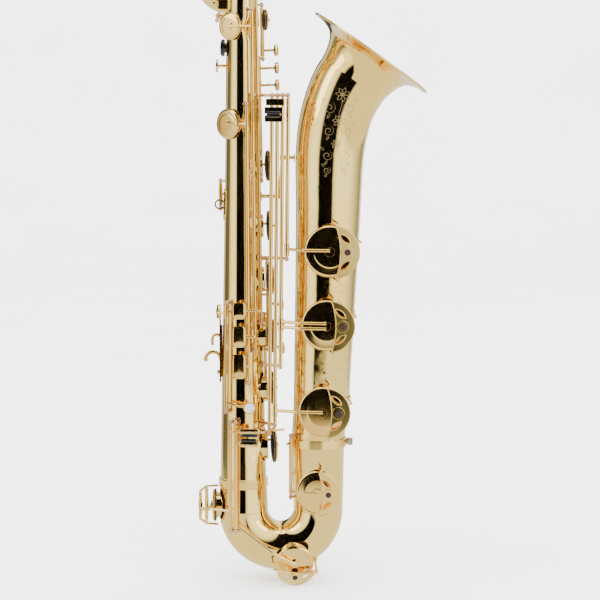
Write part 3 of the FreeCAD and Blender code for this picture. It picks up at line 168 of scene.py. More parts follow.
NOISE_SPAN = (0.3, 0.7)
# The colour sockets of a Mix node, which share their names with its other kinds of socket.
MIX_FACTOR, MIX_FIRST, MIX_SECOND, MIX_RESULT = 0, 6, 7, 2


def set_stops(node, stops):
    """Give a colour ramp its stops, each a position and a colour."""
    elements = node.color_ramp.elements
    while len(elements) < len(stops):
        elements.new(0.5)
    for element, (position, colour) in zip(elements, stops):
        element.position = position
        element.color = (*colour, 1)


class Paint:
    """A node material built step by step round one Principled shader."""

    def __init__(self, name, **settings):
        self.material = bpy.data.materials.new(name)
        self.material.use_nodes = True
        self.nodes = self.material.node_tree.nodes
        self.links = self.material.node_tree.links
        self.shader = self.nodes["Principled BSDF"]
        for socket, value in settings.items():
            self.shader.inputs[socket.replace("_", " ")].default_value = value
        self.place = self.add("ShaderNodeTexCoord").outputs["Object"]
        self.normal = None

    def add(self, kind, **values):
        node = self.nodes.new(kind)
        for key, value in values.items():
            setattr(node, key, value)
        return node

    def stretched(self, scale):
        node = self.add("ShaderNodeMapping")
        node.inputs["Scale"].default_value = scale
        self.links.new(self.place, node.inputs["Vector"])
        return node.outputs["Vector"]

    def noise(self, scale, detail, roughness, stretch=None, distortion=0):
        node = self.add("ShaderNodeTexNoise")
        node.inputs["Scale"].default_value = scale
        node.inputs["Detail"].default_value = detail
        node.inputs["Roughness"].default_value = roughness
        node.inputs["Distortion"].default_value = distortion
        source = self.stretched(stretch) if stretch else self.place
        self.links.new(source, node.inputs["Vector"])
        return node.outputs["Fac"]

    def cells(self, scale):
        node = self.add("ShaderNodeTexVoronoi")
        node.inputs["Scale"].default_value = scale
        self.links.new(self.place, node.inputs["Vector"])
        return node.outputs["Distance"]

    def ramp(self, factor, stops):
        node = self.add("ShaderNodeValToRGB")
        set_stops(node, stops)
        self.links.new(factor, node.inputs["Fac"])
        return node.outputs["Color"]

    def span(self, factor, low, high):
        """Spread a noise's usual values between two others."""
        node = self.add("ShaderNodeMapRange")
        node.inputs["From Min"].default_value, node.inputs["From Max"].default_value = NOISE_SPAN
        node.inputs["To Min"].default_value = low
        node.inputs["To Max"].default_value = high
        self.links.new(factor, node.inputs["Value"])
        return node.outputs["Result"]

    def darken(self, share, first, second):
        """Multiply one colour by another, to a stated share."""
        node = self.add("ShaderNodeMix", data_type="RGBA", blend_type="MULTIPLY")
        node.inputs[MIX_FACTOR].default_value = share
        self.links.new(first, node.inputs[MIX_FIRST])
        self.links.new(second, node.inputs[MIX_SECOND])
        return node.outputs[MIX_RESULT]

    def colour(self, source):
        self.links.new(source, self.shader.inputs["Base Color"])

    def roughness(self, source):
        self.links.new(source, self.shader.inputs["Roughness"])

    def bump(self, height, strength, distance):
        node = self.add("ShaderNodeBump")
        node.inputs["Strength"].default_value = strength
        node.inputs["Distance"].default_value = distance
        self.links.new(height, node.inputs["Height"])
        if self.normal:
            self.links.new(self.normal, node.inputs["Normal"])
        self.normal = node.outputs["Normal"]
        self.links.new(self.normal, self.shader.inputs["Normal"])

    def round_edges(self, radius):
        node = self.add("ShaderNodeBevel", samples=4)
        node.inputs["Radius"].default_value = radius
        self.normal = node.outputs["Normal"]
        self.links.new(self.normal, self.shader.inputs["Normal"])


def brass(name, pale, deep, rough, edge=0.0004):
    """Lacquered brass: a warm metal with cloudy lacquer, faint specks and fine polishing lines."""
    paint = Paint(name, Metallic=1.0, Coat_Weight=0.45, Coat_Roughness=0.06, Coat_IOR=1.5)
    paint.round_edges(edge)
    cloud = paint.noise(14, 4, 0.6, distortion=0.4)
    halfway = tuple((a + b) / 2 for a, b in zip(pale, deep))
    tone = paint.ramp(cloud, [(0.3, deep), (0.5, halfway), (0.68, pale)])
    speck = paint.noise(420, 2, 0.5)
    aged = paint.ramp(speck, [(0.24, (0.55, 0.42, 0.3)), (0.33, (1, 1, 1))])
    paint.colour(paint.darken(0.8, tone, aged))
    smear = paint.noise(55, 5, 0.65, stretch=(1, 1, 0.35))
    paint.roughness(paint.span(smear, *rough))
    paint.bump(paint.noise(30, 1, 0.4), 0.03, 0.0008)
    paint.bump(paint.noise(900, 2, 0.5, stretch=(1, 1, 0.2)), 0.04, 0.00006)
    return paint.material


GOLD = brass("lacquered_tube", (1.0, 0.76, 0.24), (0.96, 0.66, 0.15), (0.03, 0.07))
KEY_GOLD = brass("lacquered_key", (1.0, 0.72, 0.22), (0.90, 0.56, 0.12), (0.04, 0.10), 0.0003)
ROSE = brass("worn_rod_brass", (0.84, 0.56, 0.30), (0.64, 0.38, 0.18), (0.09, 0.18), 0.0003)


def steel():
    paint = Paint("nickel_steel", Metallic=1.0)
    paint.round_edges(0.0002)
    grain = paint.noise(260, 3, 0.6, stretch=(4, 4, 0.15))
    paint.colour(paint.ramp(grain, [(0.3, (0.50, 0.47, 0.44)), (0.7, (0.72, 0.69, 0.66))]))
    paint.roughness(paint.span(grain, 0.18, 0.34))
    paint.bump(grain, 0.08, 0.0001)
    return paint.material


def blued():
    paint = Paint("blued_spring_steel", Metallic=1.0)
    heat = paint.noise(60, 3, 0.5)
    stops = [(0.3, (0.02, 0.035, 0.12)), (0.5, (0.03, 0.07, 0.24)), (0.7, (0.06, 0.05, 0.14))]
    paint.colour(paint.ramp(heat, stops))
    paint.roughness(paint.span(heat, 0.2, 0.36))
    return paint.material


def black_gloss(name, tone, rough):
    paint = Paint(name, Coat_Weight=0.3, Coat_Roughness=0.08)
    paint.round_edges(0.0004)
    cloud = paint.noise(70, 4, 0.6)
    paint.colour(paint.ramp(cloud, [(0.3, tone), (0.7, tuple(part * 1.4 for part in tone))]))
    paint.roughness(paint.span(paint.noise(160, 4, 0.7, stretch=(1, 1, 0.3)), *rough))
    paint.bump(paint.noise(700, 3, 0.6), 0.02, 0.00004)
    return paint.material


# Pad leather with painted shade: its near-black colour is partly the leather's own dark tone and
# partly painted shadow of the gap between an open cup and its tone hole.
def leather():
    paint = Paint("pad_leather_and_gap_shade", Specular_IOR_Level=0.25)
    cloud = paint.noise(90, 4, 0.6)
    # Painted shade: these near-black tones paint in the shadow under the cup as well as the dark
    # leather.
    paint.colour(paint.ramp(cloud, [(0.3, (0.006, 0.004, 0.003)), (0.7, (0.018, 0.011, 0.007))]))
    paint.roughness(paint.span(cloud, 0.5, 0.7))
    paint.bump(paint.cells(1500), 0.25, 0.00015)
    return paint.material


def felt():
    paint = Paint("bumper_felt", Sheen_Weight=0.05, Sheen_Roughness=0.6, Specular_IOR_Level=0.1)
    fibre = paint.noise(1400, 5, 0.75)
    paint.colour(paint.ramp(fibre, [(0.3, (0.008, 0.003, 0.003)), (0.7, (0.03, 0.011, 0.009))]))
    paint.roughness(paint.span(fibre, 0.85, 0.98))
    paint.bump(fibre, 0.5, 0.0003)
    return paint.material


def cork():
    paint = Paint("neck_cork_bark")
    grain = paint.noise(240, 5, 0.7)
    stops = [(0.35, (0.06, 0.028, 0.012)), (0.5, (0.16, 0.085, 0.038)), (0.7, (0.23, 0.135, 0.065))]
    tone = paint.ramp(grain, stops)
    pits = paint.ramp(paint.cells(420), [(0.10, (0.35, 0.25, 0.2)), (0.28, (1, 1, 1))])
    paint.colour(paint.darken(0.7, tone, pits))
    paint.roughness(paint.span(grain, 0.7, 0.9))
    paint.bump(paint.cells(420), 0.4, 0.0004)
    return paint.material


def cane():
    paint = Paint("reed_cane", Coat_Weight=0.1, Coat_Roughness=0.3)
    fibre = paint.noise(420, 4, 0.6, stretch=(0.08, 1, 1))
    stops = [(0.3, (0.22, 0.13, 0.05)), (0.5, (0.32, 0.21, 0.09)), (0.72, (0.38, 0.28, 0.14))]
    paint.colour(paint.ramp(fibre, stops))
    paint.roughness(paint.span(fibre, 0.4, 0.6))
    paint.bump(fibre, 0.3, 0.0002)
    return paint.material


def pearl():
    paint = Paint("mother_of_pearl", Coat_Weight=0.8, Coat_Roughness=0.04, Subsurface_Weight=0.1)
    paint.shader.inputs["Subsurface Radius"].default_value = (0.002, 0.0018, 0.0015)
    swirl = paint.noise(130, 3, 0.5, distortion=2.2)
    stops = [(0.28, (0.28, 0.27, 0.31)), (0.42, (0.38, 0.32, 0.31)),
             (0.55, (0.42, 0.41, 0.39)), (0.7, (0.27, 0.32, 0.33))]
    paint.colour(paint.ramp(swirl, stops))
    paint.roughness(paint.span(swirl, 0.12, 0.24))
    paint.bump(swirl, 0.06, 0.0003)
    return paint.material


def bright_cut():
    """The cut line of an engraving, which is duller and rougher than the lacquer round it."""
    paint = Paint("engraved_cut", Metallic=1.0)
    chatter = paint.noise(1600, 2, 0.5)
    paint.colour(paint.ramp(chatter, [(0.3, (0.22, 0.14, 0.05)), (0.7, (0.55, 0.42, 0.20))]))
    paint.roughness(paint.span(chatter, 0.34, 0.55))
    return paint.material


STEEL = steel()
BLUED = blued()
EBONITE = black_gloss("hard_rubber", (0.0016, 0.0016, 0.0018), (0.14, 0.24))
ROLLER = black_gloss("roller_black", (0.0020, 0.0020, 0.0022), (0.10, 0.18))
PAD_LEATHER_AND_GAP_SHADE = leather()
FELT = felt()
CORK = cork()
CANE = cane()
PEARL = pearl()
CUT = bright_cut()

# material: the record's slot that a piece of it takes
# Of the CAD nodes not named here, keys and levers are key brass and the others are tube brass.
NODE_PAINT = {
    "pivot_rods": STEEL, "clamp_screws": STEEL, "key_posts": ROSE, "guard_bumpers": FELT,
    "neck_cork": CORK, "mouthpiece": EBONITE, "thumb_rest": EBONITE, "reed": CANE,
    "neck_screw": KEY_GOLD, "strap_ring": KEY_GOLD, "thumb_hook": KEY_GOLD,
    "ligature": KEY_GOLD, "lyre_socket": KEY_GOLD,
}

for name, node in NODES.items():
    finish = NODE_PAINT.get(name)
    if finish is None:
        finish = KEY_GOLD if name.endswith(("_key", "_lever")) else GOLD
    for place in node.material_slots:
        place.link = "OBJECT"
        place.material = finish

# ---------------------------------------------------------------- mesh building

WELD = 0.0005  # points nearer than this are one point
ON_AXIS = 1e-6  # a lathe's point nearer the axis than this is a pole


def join_rings(builder, low, high):
    """Faces all the way round between two rings of as many points."""
    count = len(low)
    for step in range(count):
        after = (step + 1) % count
        builder.faces.new([low[step], low[after], high[after], high[step]])


def join_and_cap(builder, rings):
    """A closed skin over a row of rings."""
    for low, high in zip(rings, rings[1:]):
        join_rings(builder, low, high)
    builder.faces.new(rings[0])
    builder.faces.new(rings[-1])


def finish_piece(name, builder, material, body, sharp=35):
    """Turn a bmesh in millimetres into a piece that rides a body."""
    bmesh.ops.remove_doubles(builder, verts=builder.verts, dist=WELD)
    bmesh.ops.recalc_face_normals(builder, faces=builder.faces)
    bmesh.ops.scale(builder, vec=[1 / PER_METRE] * 3, verts=builder.verts)
    mesh = bpy.data.meshes.new(name)
    builder.to_mesh(mesh)
    builder.free()
    mesh.shade_smooth()
    mesh.set_sharp_from_angle(angle=math.radians(sharp))
    piece = bpy.data.objects.new(name, mesh)
    bpy.context.scene.collection.objects.link(piece)
    mesh.materials.append(material)
    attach(piece, body)
    return piece


def lathe(builder, place, profile, steps=48):
    """Revolve a profile of (radius, height) about Z, from pole to pole or as a closed loop."""
    rings = []
    for radius, height in profile:
        if radius < ON_AXIS:
            rings.append([builder.verts.new(place @ Vector((0, 0, height)))])
            continue
        ring = []
        for step in range(steps):
            angle = 2 * math.pi * step / steps
            point = Vector((radius * math.cos(angle), radius * math.sin(angle), height))
            ring.append(builder.verts.new(place @ point))
        rings.append(ring)
    pairs = list(zip(rings, rings[1:]))
    if len(rings[0]) > 1 and len(rings[-1]) > 1:
        pairs.append((rings[-1], rings[0]))
    for low, high in pairs:
        for step in range(steps):
            after = (step + 1) % steps
            corners = [low[step % len(low)], low[after % len(low)],
                       high[after % len(high)], high[step % len(high)]]
            unique = list(dict.fromkeys(corners))
            if len(unique) > 2:
                builder.faces.new(unique)


def sweep(builder, points, radii, sides, squash=1.0, out=None):
    """A capped tube through points, with a radius at each, flattened along out if given."""
    rings = []
    side = None  # the way across the last ring, which the next one keeps to
    for index, point in enumerate(points):
        ahead = points[min(index + 1, len(points) - 1)] - points[max(index - 1, 0)]
        ahead.normalize()
        if out is not None:
            up = (out[index] - ahead * out[index].dot(ahead)).normalized()
        else:
            if side is None:
                side = Vector((0, 0, 1)) if abs(ahead.z) < 0.9 else Vector((1, 0, 0))
            side = up = (side - ahead * side.dot(ahead)).normalized()
        across = ahead.cross(up)
        ring = []
        for step in range(sides):
            angle = 2 * math.pi * step / sides
            offset = across * math.cos(angle) + up * math.sin(angle) * squash
            ring.append(builder.verts.new(point + offset * radii[index]))
        rings.append(ring)
    join_and_cap(builder, rings)


# ---------------------------------------------------------------- cups and their pads


def cup_skin(radius):
    """Half-section of a pressed cup: rolled lip, shoulder, raised step, shallow crown."""
    under = RISE
    crown = under + CUP_DEPTH
    shoulder = radius - 2.4
    step = radius * 0.62
    lip = [(0, under + 2.0), (radius + 0.2, under + 2.0), (radius + 0.75, under + 2.1),
           (radius + 0.85, under + 2.5), (radius + 0.6, under + 2.9), (radius + 0.25, under + 3.1)]
    side = [(radius, under + 3.5), (radius - 0.5, under + 4.0), (radius - 1.2, under + 4.35),
            (shoulder, crown + 0.12), (shoulder - 0.5, crown + 0.14)]
    raised = [(step + 1.2, crown + 0.18), (step + 0.7, crown + 0.22), (step + 0.3, crown + 0.4),
              (step - 0.2, crown + 0.46), (step - 0.8, crown + 0.47)]
    return lip + side + raised + [(step * 0.3, crown + 0.52), (0, crown + 0.52)]


def pad_skin(radius):
    """Half-section of a leather pad that stands a little proud of its cup."""
    under = RISE
    face = [(0, under - 0.02), (radius - 3.2, under - 0.04), (radius - 1.2, under - 0.14),
            (radius - 0.3, under - 0.05)]
    edge = [(radius + 0.3, under + 0.4), (radius + 0.45, under + 1.2), (radius + 0.3, under + 2.2)]
    return face + edge + [(0, under + 2.2)]


for body, (seat, radius) in CUPS.items():
    place = at_rest(body, seat)
    builder = bmesh.new()
    lathe(builder, place, cup_skin(radius), 72)
    finish_piece(body + "_cup_skin", builder, KEY_GOLD, body)
    builder = bmesh.new()
    lathe(builder, place, pad_skin(radius), 64)
    finish_piece(body + "_pad", builder, PAD_LEATHER_AND_GAP_SHADE, body)

# ---------------------------------------------------------------- finger pearls, rollers, touches

# body: the height of its finger touch on the body tube
PEARLS = {"d_key": 286, "e_key": 316, "f_key": 341, "g_key": 616, "a_key": 637, "b_key": 659}
PEARL_OFFSET = (0, 9, 18)  # along the tube, round it and out from its wall
PEARL_SKIN = [(0, 2.6), (6.1, 2.6), (6.25, 3.2), (6.1, 3.9), (5.6, 4.25), (4.8, 4.2),
              (3.2, 3.85), (1.5, 3.65), (0, 3.6)]
BEZEL_SKIN = [(6.2, 2.2), (7.25, 2.2), (7.45, 2.6), (7.4, 3.4), (7.0, 3.75), (6.45, 3.7),
              (6.2, 3.4)]


def finger_pearl(body, place):
    builder = bmesh.new()
    lathe(builder, place, PEARL_SKIN, 48)
    finish_piece(body + "_pearl", builder, PEARL, body, 50)
    builder = bmesh.new()
    lathe(builder, place, BEZEL_SKIN, 48)
    finish_piece(body + "_pearl_bezel", builder, KEY_GOLD, body, 60)


for body, height in PEARLS.items():
    finger_pearl(body, at_rest(body, wall_seat(height, 0) @ move(*PEARL_OFFSET)))
ALTERNATE_PEARL = at(9, -body_radius(222) - 12, 219)
finger_pearl("alternate_fsharp_key", facing(ALTERNATE_PEARL, (0, -1, 0)))

ROLLER_SKIN = [(0, -9.6), (1.4, -9.6), (1.9, -9.2), (2.15, -8.2), (2.2, 0), (2.15, 8.2),
               (1.9, 9.2), (1.4, 9.6), (0, 9.6)]
# key: its roller's middle, and the roller's share of the full length
ROLLERS = {
    "low_c": ((9, -44.6, 179.6), 1.0),
    "low_eflat": ((9, -48.2, 185.6), 1.0),
    "low_bflat": ((41, -47.6, 579.2), 0.9),
    "low_b": ((41, -47.6, 583), 0.9),
}
for key, (centre, share) in ROLLERS.items():
    body = key + "_key"
    skin = [(radius, reach * share) for radius, reach in ROLLER_SKIN]
    builder = bmesh.new()
    lathe(builder, at_rest(body, facing(at(*centre), (1, 0, 0))), skin, 28)
    finish_piece(key + "_roller", builder, ROLLER, body, 50)

# A touch plate's rings: how much smaller each is than the outline, and its share of the lift.
PLATE_RINGS = ((0.0, 0.0), (0.0, 0.45), (0.06, 0.8), (0.16, 1), (0.55, 1.25))
PLATE_STEPS = 40
SQUARENESS = 5  # the power of the plate's outline, which is 2 for an ellipse


def cushion_plate(name, body, centre, width, height, lift):
    """A softly crowned touch plate that faces the player's hand on the -Y side."""
    builder = bmesh.new()
    place = at_rest(body, facing(at(*centre), (0, -1, 0)))
    rings = []
    for inset, level in PLATE_RINGS:
        ring = []
        for step in range(PLATE_STEPS):
            angle = 2 * math.pi * step / PLATE_STEPS
            across, along = math.cos(angle), math.sin(angle)
            swell = (abs(across) ** SQUARENESS + abs(along) ** SQUARENESS) ** (-1 / SQUARENESS)
            x = across * swell * (width / 2) * (1 - inset)
            y = along * swell * (height / 2) * (1 - inset)
            ring.append(builder.verts.new(place @ Vector((x, y, lift * level))))
        rings.append(ring)
    join_and_cap(builder, rings)
    finish_piece(name, builder, KEY_GOLD, body, 40)


# key: the middle of its little finger plate
LITTLE_TOUCHES = {"low_c": (9, -44.8, 174.2), "low_eflat": (9, -47.8, 190.8)}
for key, centre in LITTLE_TOUCHES.items():
    cushion_plate(key + "_touch_face", key + "_key", centre, 24.4, 6.8, 0.9)
# key: the heights of its side plate's ends
SIDE_TOUCHES = {"side_bflat_key": (256, 286), "side_c_key": (295, 321), "high_e_key": (330, 350)}
SIDE_TOUCH_REACH = 16.3  # out from the body tube's wall
for body, (low, high) in SIDE_TOUCHES.items():
    middle = (low + high) / 2
    front = -body_radius(middle) - SIDE_TOUCH_REACH
    length = high - low + 0.6
    cushion_plate(body + "_touch_face", body, (-3.5, front, middle), 15.6, length, 1.0)

# ---------------------------------------------------------------- pivot screws and needle springs

# body: half the length of its hinge tube, the x of the tube that its posts stand on, or None
# where its springs point straight back
SPANS = {
    "d_key": (73, 0), "e_key": (51, 0), "f_key": (32, 0), "fsharp_key": (16.5, 0), "g_key": (99, 0),
    "a_key": (73, 0), "b_key": (30, 0), "c_key": (18, 0), "gsharp_key": (14, 0),
    "palm_d_key": (14, 0), "palm_eflat_key": (14, 0), "palm_f_key": (14, 0),
    "side_bflat_key": (169, 0), "side_c_key": (206.5, 0), "high_e_key": (252, 0),
    "low_c_key": (65.35, 4.6), "low_eflat_key": (65.35, 4.6), "low_csharp_key": (35.5, 94.4),
    "low_a_key": (96.7, None), "low_bflat_key": (163.7, None), "low_b_key": (200.7, None),
    "low_csharp_lever": (205.7, None), "alternate_fsharp_key": (64.5, 0),
    "octave_vent_key": (25, 0),
}
POST_END = 3.3  # from the end of a hinge tube to the middle of its post
POST_HALF = 2.1  # from there to the post's outer face
SCREW_RADIUS = 1.75
SLOT_HALF = 0.28
SCREW_LEVELS = ((0, 0), (0.8, 0), (1.05, 0.3))  # height, how much smaller the head is there
SCREW_STEPS = 12
SPRING_OFFSET = 4.3  # from the hinge's axis, towards the tube
SPRING_LENGTH = 34
SPRING_BOW = 0.9
SPRING_RADIUS, SPRING_NARROWING = 0.36, 0.18
SPRING_STEPS = 8


def slotted_head(builder, place):
    """A round screw head in two halves, with a straight slot between them."""
    for side in (0, 180):
        turned = place @ turn(side, "Z")
        rings = []
        for level, shrink in SCREW_LEVELS:
            radius = SCREW_RADIUS - shrink
            half_chord = math.sqrt(radius ** 2 - SLOT_HALF ** 2)
            outline = [(SLOT_HALF, -half_chord)]
            for step in range(1, SCREW_STEPS):
                angle = math.radians(-80 + 160 * step / SCREW_STEPS)
                outline.append((radius * math.cos(angle), radius * math.sin(angle)))
            outline.append((SLOT_HALF, half_chord))
            rings.append([builder.verts.new(turned @ Vector((x, y, level))) for x, y in outline])
        join_and_cap(builder, rings)


screws = bmesh.new()
springs = bmesh.new()
for body, (half, axis_x) in SPANS.items():
    joint = JOINTS[body]
    pivot = Vector(joint["pos_m"]) * PER_METRE
    way = Vector(joint["axis"])
    way = way if way.z > 0 else -way
    for end in (-1, 1):
        tip = pivot + way * end * (half + POST_END + POST_HALF)
        slotted_head(screws, facing(tip, way * end) @ turn(DRAWS.uniform(0, 180), "Z"))
    if axis_x is None:
        inward = Vector((0, 1, 0))
    else:
        inward = at(axis_x, 0, 0) - pivot
        inward.z = 0
        inward.normalize()
    start = pivot - way * (half + POST_END) + inward * SPRING_OFFSET
    reach = min(SPRING_LENGTH, half * 0.9)
    points, radii = [], []
    for step in range(SPRING_STEPS + 1):
        share = step / SPRING_STEPS
        points.append(start + way * (reach * share) - inward * (SPRING_BOW * share * share))
        radii.append(SPRING_RADIUS - SPRING_NARROWING * step / SPRING_STEPS)
    sweep(springs, points, radii, 8)
finish_piece("pivot_screw_heads", screws, STEEL, "instrument", 30)
finish_piece("needle_springs", springs, BLUED, "instrument", 50)

# ---------------------------------------------------------------- rolled rims of the key guards

# key: how far its cup opens, and which way round the guard over it is turned
GUARDS = {"low_a_key": (13, 90), "low_bflat_key": (13, 90), "low_b_key": (13, 90),
          "low_csharp_key": (8, 90), "low_c_key": (11, -90)}
CUP_TOP = RISE + CUP_DEPTH
GUARD_GAP = 3.2  # from the open cup's top to the guard
# The guards' sizes are those of the largest one, and shrink with the cup.
FULL_CUP = 31
GUARD_MARGIN = 0.9
BITE_RADIUS, BITE_REACH = 97, 89  # the arc that is cut out of the guard's disc, and its centre
BITE_MARGIN = 0.35
LEAF_RADIUS, LEAF_REACH = 13, 9.5  # the two arcs that make a window, and their centres
WINDOW_REACH, WINDOW_TURN = 21.5, 49
BOSS_REACH, BOSS_RADIUS = 16.74, 7.5
# The boss's rim and the bumper cap in it: shares of the boss's radius, and heights.
BOSS_SKIN = [(0.58, 1.2), (0.98, 1.2), (1, 2.0), (0.93, 2.5), (0.84, 2.5), (0.78, 2.1),
             (0.7, 2.1), (0.66, 2.5), (0.6, 2.5), (0.56, 2.2)]
CAP_SKIN = [(0, 2.6), (0.54, 2.6), (0.56, 2.95), (0.50, 3.15), (0.3, 2.95), (0, 2.9)]


def arc(centre, radius, start, end, steps):
    """Points round a centre on the X axis."""
    points = []
    for step in range(steps + 1):
        angle = start + (end - start) * step / steps
        points.append((centre + radius * math.cos(angle), radius * math.sin(angle)))
    return points


def bead(builder, place, flat, level, wire):
    """A rounded wire round a closed outline on a guard's face."""
    outline = flat + flat[:1]
    sweep(builder, [place @ Vector((x, y, level)) for x, y in outline], [wire] * len(outline), 8)


rims = bmesh.new()
caps = bmesh.new()
half_leaf = math.acos(LEAF_REACH / LEAF_RADIUS)
for body, (lift, tilt) in GUARDS.items():
    seat, radius = CUPS[body]
    share = radius / FULL_CUP
    place = seat @ move(0, 0, CUP_TOP + lift + GUARD_GAP) @ turn(tilt, "Z")
    outer = radius + GUARD_MARGIN
    bite = BITE_RADIUS * share + BITE_MARGIN
    reach = BITE_REACH * share
    corner = (bite ** 2 - outer ** 2 - reach ** 2) / (2 * reach)
    half_outer = math.acos(corner / outer)
    half_bite = math.asin(outer * math.sin(half_outer) / bite)
    crescent = arc(0, outer, -half_outer, half_outer, 44)
    crescent += arc(-reach, bite, half_bite, -half_bite, 30)[1:-1]
    bead(rims, place, crescent, 1.45, 0.62)
    leaf_radius, leaf_reach = LEAF_RADIUS * share, LEAF_REACH * share
    leaf = arc(-leaf_reach, leaf_radius, -half_leaf, half_leaf, 16)
    leaf += arc(leaf_reach, leaf_radius, math.pi - half_leaf, math.pi + half_leaf, 16)[1:-1]
    for side in (-1, 1):
        window = place @ turn(side * WINDOW_TURN, "Z") @ move(WINDOW_REACH * share, 0, 0)
        bead(rims, window, leaf, 1.4, 0.55)
    boss = place @ move(BOSS_REACH * share, 0, 0)
    size = BOSS_RADIUS * min(1, share * 1.1)
    lathe(rims, boss, [(size * part, height) for part, height in BOSS_SKIN])
    lathe(caps, boss, [(size * part, height) for part, height in CAP_SKIN])
finish_piece("guard_rims", rims, KEY_GOLD, "instrument", 50)
finish_piece("guard_bumper_caps", caps, ROLLER, "instrument", 50)

# ---------------------------------------------------------------- engraving on the bell

BELL = NODES["bell"]
STROKE_LIFT = 0.02  # off the bell's wall


def on_bell(x, z):
    """The point and normal where a line along +Y first meets the bell, in millimetres."""
    start = Vector((x / PER_METRE, -0.4, z / PER_METRE))
    hit, point, normal, _ = BELL.ray_cast(start, Vector((0, 1, 0)))
    return (point * PER_METRE, normal) if hit else None


def scroll(centre, start, size, turns, curl):
    """A tapering spiral in the X-Z plane."""
    points = []
    steps = int(26 * turns)
    for step in range(steps + 1):
        share = step / steps
        angle = start + curl * 2 * math.pi * turns * share
        radius = size * (1 - share) ** 0.8 + 0.3
        points.append((centre[0] + radius * math.cos(angle), centre[1] + radius * math.sin(angle)))
    return points


def petal(centre, angle, length, width):
    """A leaf outline from the centre outward."""
    points = []
    for step in range(25):
        share = step / 24
        out = 1 - abs(2 * share - 1)
        along = length * out
        side = width * math.sin(math.pi * out) * (1 if share < 0.5 else -1)
        points.append((centre[0] + along * math.cos(angle) - side * math.sin(angle),
                       centre[1] + along * math.sin(angle) + side * math.cos(angle)))
    return points


def cut_line(builder, flat, width=0.32):
    """Lay one engraved stroke on the bell."""
    hits = [on_bell(x, z) for x, z in flat]
    if None in hits or len(hits) < 3:
        return
    points = [point + normal * STROKE_LIFT for point, normal in hits]
    out = [normal for point, normal in hits]
    last = len(points) - 1
    radii = [width * (0.35 + 0.65 * math.sin(math.pi * index / last)) for index in range(last + 1)]
    sweep(builder, points, radii, 6, 0.35, out)


# Places on the bell's front are (x, z) from the strap ring.
FLOWERS = (((152, 136), 9), ((147, 104), 7.5), ((144, 76), 6))  # middle, size
PETALS = 7
SCROLLS = ((120, 7), (92, 6), (62, 6), (44, 4.5))  # z, size

engraving = bmesh.new()
for flower, size in FLOWERS:
    for blade in range(PETALS):
        angle = 2 * math.pi * blade / PETALS + 0.3
        cut_line(engraving, petal(flower, angle, size, size * 0.22))
    for ring in range(2):
        cut_line(engraving, scroll(flower, ring * math.pi, size * 0.3, 1.2, 1), 0.26)
for side in (-1, 1):
    for level, size in SCROLLS:
        x = 148 + side * (9 + size * 0.4) - (120 - level) * 0.06
        curl = scroll((x, level), math.pi / 2 + side * 0.6, size, 1.5, side)
        upper = petal((x + side * size * 0.7, level + size), math.pi / 2 - side * 0.7, size, 1.3)
        lower = petal((x, level - size), -math.pi / 2 + side * 0.5, size * 0.9, 1.1)
        cut_line(engraving, curl, 0.34)
        cut_line(engraving, upper)
        cut_line(engraving, lower)
stem = [(149 + 2.2 * math.sin(level * 0.16), level) for level in range(36, 146, 2)]
cut_line(engraving, stem, 0.3)
finish_piece("bell_engraving", engraving, CUT, "instrument", 60)

# ---------------------------------------------------------------- floor, light and camera

# Lengths are in metres from here on.
FLOOR = CAD_LOW.z - 0.0015
FLOOR_FRONT, FLOOR_BACK = -2.2, 4
BEND_RADIUS, BEND_STEPS = 2, 12
WALL_TOP = 6
BACKDROP_HALF = 8


def backdrop():
    """A pale floor that sweeps up into a wall far behind."""
    builder = bmesh.new()
    profile = [(FLOOR_FRONT, 0), (FLOOR_BACK, 0)]
    for step in range(1, BEND_STEPS + 1):
        angle = math.pi / 2 * step / BEND_STEPS
        along, up = BEND_RADIUS * math.sin(angle), BEND_RADIUS - BEND_RADIUS * math.cos(angle)
        profile.append((FLOOR_BACK + along, up))
    profile.append((FLOOR_BACK + BEND_RADIUS, WALL_TOP))
    rows = []
    for y, z in profile:
        rows.append([builder.verts.new((side * BACKDROP_HALF, y, FLOOR + z)) for side in (-1, 1)])
    for low, high in zip(rows, rows[1:]):
        builder.faces.new([low[0], low[1], high[1], high[0]])
    mesh = bpy.data.meshes.new("sweep")
    builder.to_mesh(mesh)
    builder.free()
    mesh.shade_smooth()
    piece = bpy.data.objects.new("sweep", mesh)
    bpy.context.scene.collection.objects.link(piece)
    paint = Paint("pale_paper", Specular_IOR_Level=0.1)
    cloud = paint.noise(3, 3, 0.5)
    paint.colour(paint.ramp(cloud, [(0.3, (0.93, 0.93, 0.925)), (0.7, (0.96, 0.96, 0.955))]))
    paint.roughness(paint.span(cloud, 0.85, 0.95))
    mesh.materials.append(paint.material)
    piece.visible_glossy = False


backdrop()


# What the brass reflects at each azimuth in degrees, from black to white. 0 is the camera's side.
SURROUNDINGS = [
    (-180, 0.8), (-172, 0.04), (-158, 0.04), (-150, 0.5), (-138, 0.4), (-126, 0.06), (-92, 0.10),
    (-78, 0.75), (-60, 1.0), (-42, 0.85), (-35, 0.0), (10, 0.0), (17, 0.7), (30, 1.0), (75, 0.9),
    (105, 0.45), (132, 0.16), (146, 0.6), (166, 0.9), (180, 0.8),
]
REFLECTED_STRENGTH = 2.3
SURROUNDING_STRENGTH = 5.0
GROUND_COLOUR = (0.62, 0.60, 0.56, 1)
GROUND_EDGE = (-0.205, -0.175)  # the steepness downward at which the ground gives way to the rest


